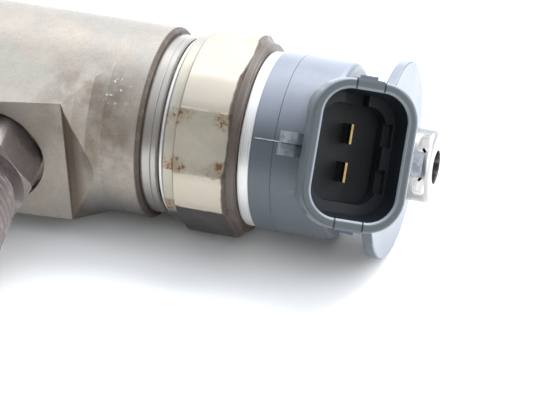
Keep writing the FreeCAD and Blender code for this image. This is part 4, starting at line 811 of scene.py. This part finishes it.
def flash_piece(material):
    """The ragged, paler ridge that the mould left along the skirt."""
    generator = random.Random(7)
    start, end = FLASH_X
    sections = []
    for step in range(FLASH_STEPS + 1):
        along = start + (end - start) * step / FLASH_STEPS
        height = (0.10 + 0.09 * generator.random()) * MM
        width = (0.07 + 0.05 * generator.random()) * MM
        drift = (generator.random() - 0.5) * 0.06 * MM
        if step in (0, FLASH_STEPS):
            height, width = 0.01 * MM, 0.02 * MM
        sections.append((along, height, width, drift))
    outward = Vector((0, -math.sin(CONNECTOR_CLOCK), math.cos(CONNECTOR_CLOCK)))
    across = Vector((0, math.cos(CONNECTOR_CLOCK), math.sin(CONNECTOR_CLOCK)))
    vertices = []
    for along, height, width, drift in sections:
        for side, rise in ((-1, FLASH_ROOT), (-0.4, height), (0.4, height), (1, FLASH_ROOT)):
            radial = outward * (SKIRT_RADIUS + rise)
            vertices.append(Vector((along, 0, 0)) + radial + across * (side * width + drift))
    faces = tube_faces(FLASH_STEPS + 1, 4, closed=False)
    last = 4 * FLASH_STEPS
    faces += [(3, 2, 1, 0), (last, last + 1, last + 2, last + 3)]
    piece = new_piece("mould_flash", vertices, faces, material)
    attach(piece, "injector")


# ---------------------------------------------------------------- stage


def make_floor():
    """A plain pale floor, just below the object."""
    shader = Shader("floor", tone=1.0)
    pale = shader.mix(shader.noise(6, detail=3.0), (0.93, 0.925, 0.91), (0.95, 0.945, 0.93))
    material = shader.finish(pale, 0.9, 0.0)
    shader.surface.inputs["Specular IOR Level"].default_value = 0.2
    size, height = FLOOR_HALF_SIZE, CAD_BOX[0][2] - FLOOR_GAP
    corners = [(x * size, y * size, height) for x, y in ((-1, -1), (1, -1), (1, 1), (-1, 1))]
    mesh = bpy.data.meshes.new("floor")
    mesh.from_pydata(corners, [], [(0, 1, 2, 3)])
    mesh.materials.append(material)
    floor = bpy.data.objects.new("floor", mesh)
    bpy.context.scene.collection.objects.link(floor)


def make_world():
    """A soft sky, brighter above and behind the object than in front of it."""
    world = bpy.data.worlds.new("studio")
    world.use_nodes = True
    tree = world.node_tree
    direction = tree.nodes.new("ShaderNodeTexCoord").outputs["Generated"]
    facing = tree.nodes.new("ShaderNodeVectorMath")
    facing.operation = "DOT_PRODUCT"
    facing.inputs[1].default_value = SUN_DIRECTION.normalized()
    tree.links.new(direction, facing.inputs[0])
    blend = tree.nodes.new("ShaderNodeMapRange")
    blend.interpolation_type = "SMOOTHSTEP"
    blend.inputs["From Min"].default_value, blend.inputs["From Max"].default_value = SKY_BLEND
    tree.links.new(facing.outputs["Value"], blend.inputs["Value"])
    colour = tree.nodes.new("ShaderNodeMix")
    colour.data_type = "RGBA"
    colour.inputs[6].default_value = (*SKY_FRONT, 1)
    colour.inputs[7].default_value = (*SKY_BACK, 1)
    tree.links.new(blend.outputs[0], colour.inputs[0])
    tree.links.new(colour.outputs[2], tree.nodes["Background"].inputs["Color"])
    bpy.context.scene.world = world


def make_sun(name, direction, strength, angle, colour):
    data = bpy.data.lights.new(name, "SUN")
    data.energy = strength
    data.angle = angle
    data.color = colour
    sun = bpy.data.objects.new(name, data)
    bpy.context.scene.collection.objects.link(sun)
    sun.rotation_euler = direction.to_track_quat("Z", "Y").to_euler()


def make_camera():
    data = bpy.data.cameras.new("camera")
    data.sensor_width = CAMERA_SENSOR
    data.lens = CAMERA_LENS
    data.clip_start = 0.01
    data.clip_end = 20
    camera = bpy.data.objects.new("camera", data)
    bpy.context.scene.collection.objects.link(camera)
    camera.location = CAMERA_PLACE
    camera.rotation_euler = CAMERA_TURN
    bpy.context.scene.camera = camera


# ---------------------------------------------------------------- the scene

make_camera()
make_world()
make_floor()
make_sun("key", SUN_DIRECTION, SUN_STRENGTH, SUN_ANGLE, SUN_COLOUR)
make_sun("side", SIDE_DIRECTION, SIDE_STRENGTH, SIDE_ANGLE, SIDE_COLOUR)
bpy.context.scene.view_settings.view_transform = "Standard"

MATERIALS = all_materials()
for subpart in frame["record"]["subparts"]:
    cad_node = NODES[subpart["node"]]
    cad_node.data.materials.clear()
    cad_node.data.materials.append(MATERIALS[subpart["material_slot"]])
    smooth_shade(cad_node.data)
nut_piece(MATERIALS["plated_nut"])
inlet_piece(MATERIALS["inlet_fitting"])
winding_piece(MATERIALS["coil_copper"])
spring_piece("nozzle_spring", "injector")
spring_piece("armature_damping_spring", "injector")
flash_piece(grained("pale_plastic", (0.62, 0.64, 0.68), 0.45, 0.0, 3000, 0.01 * MM))
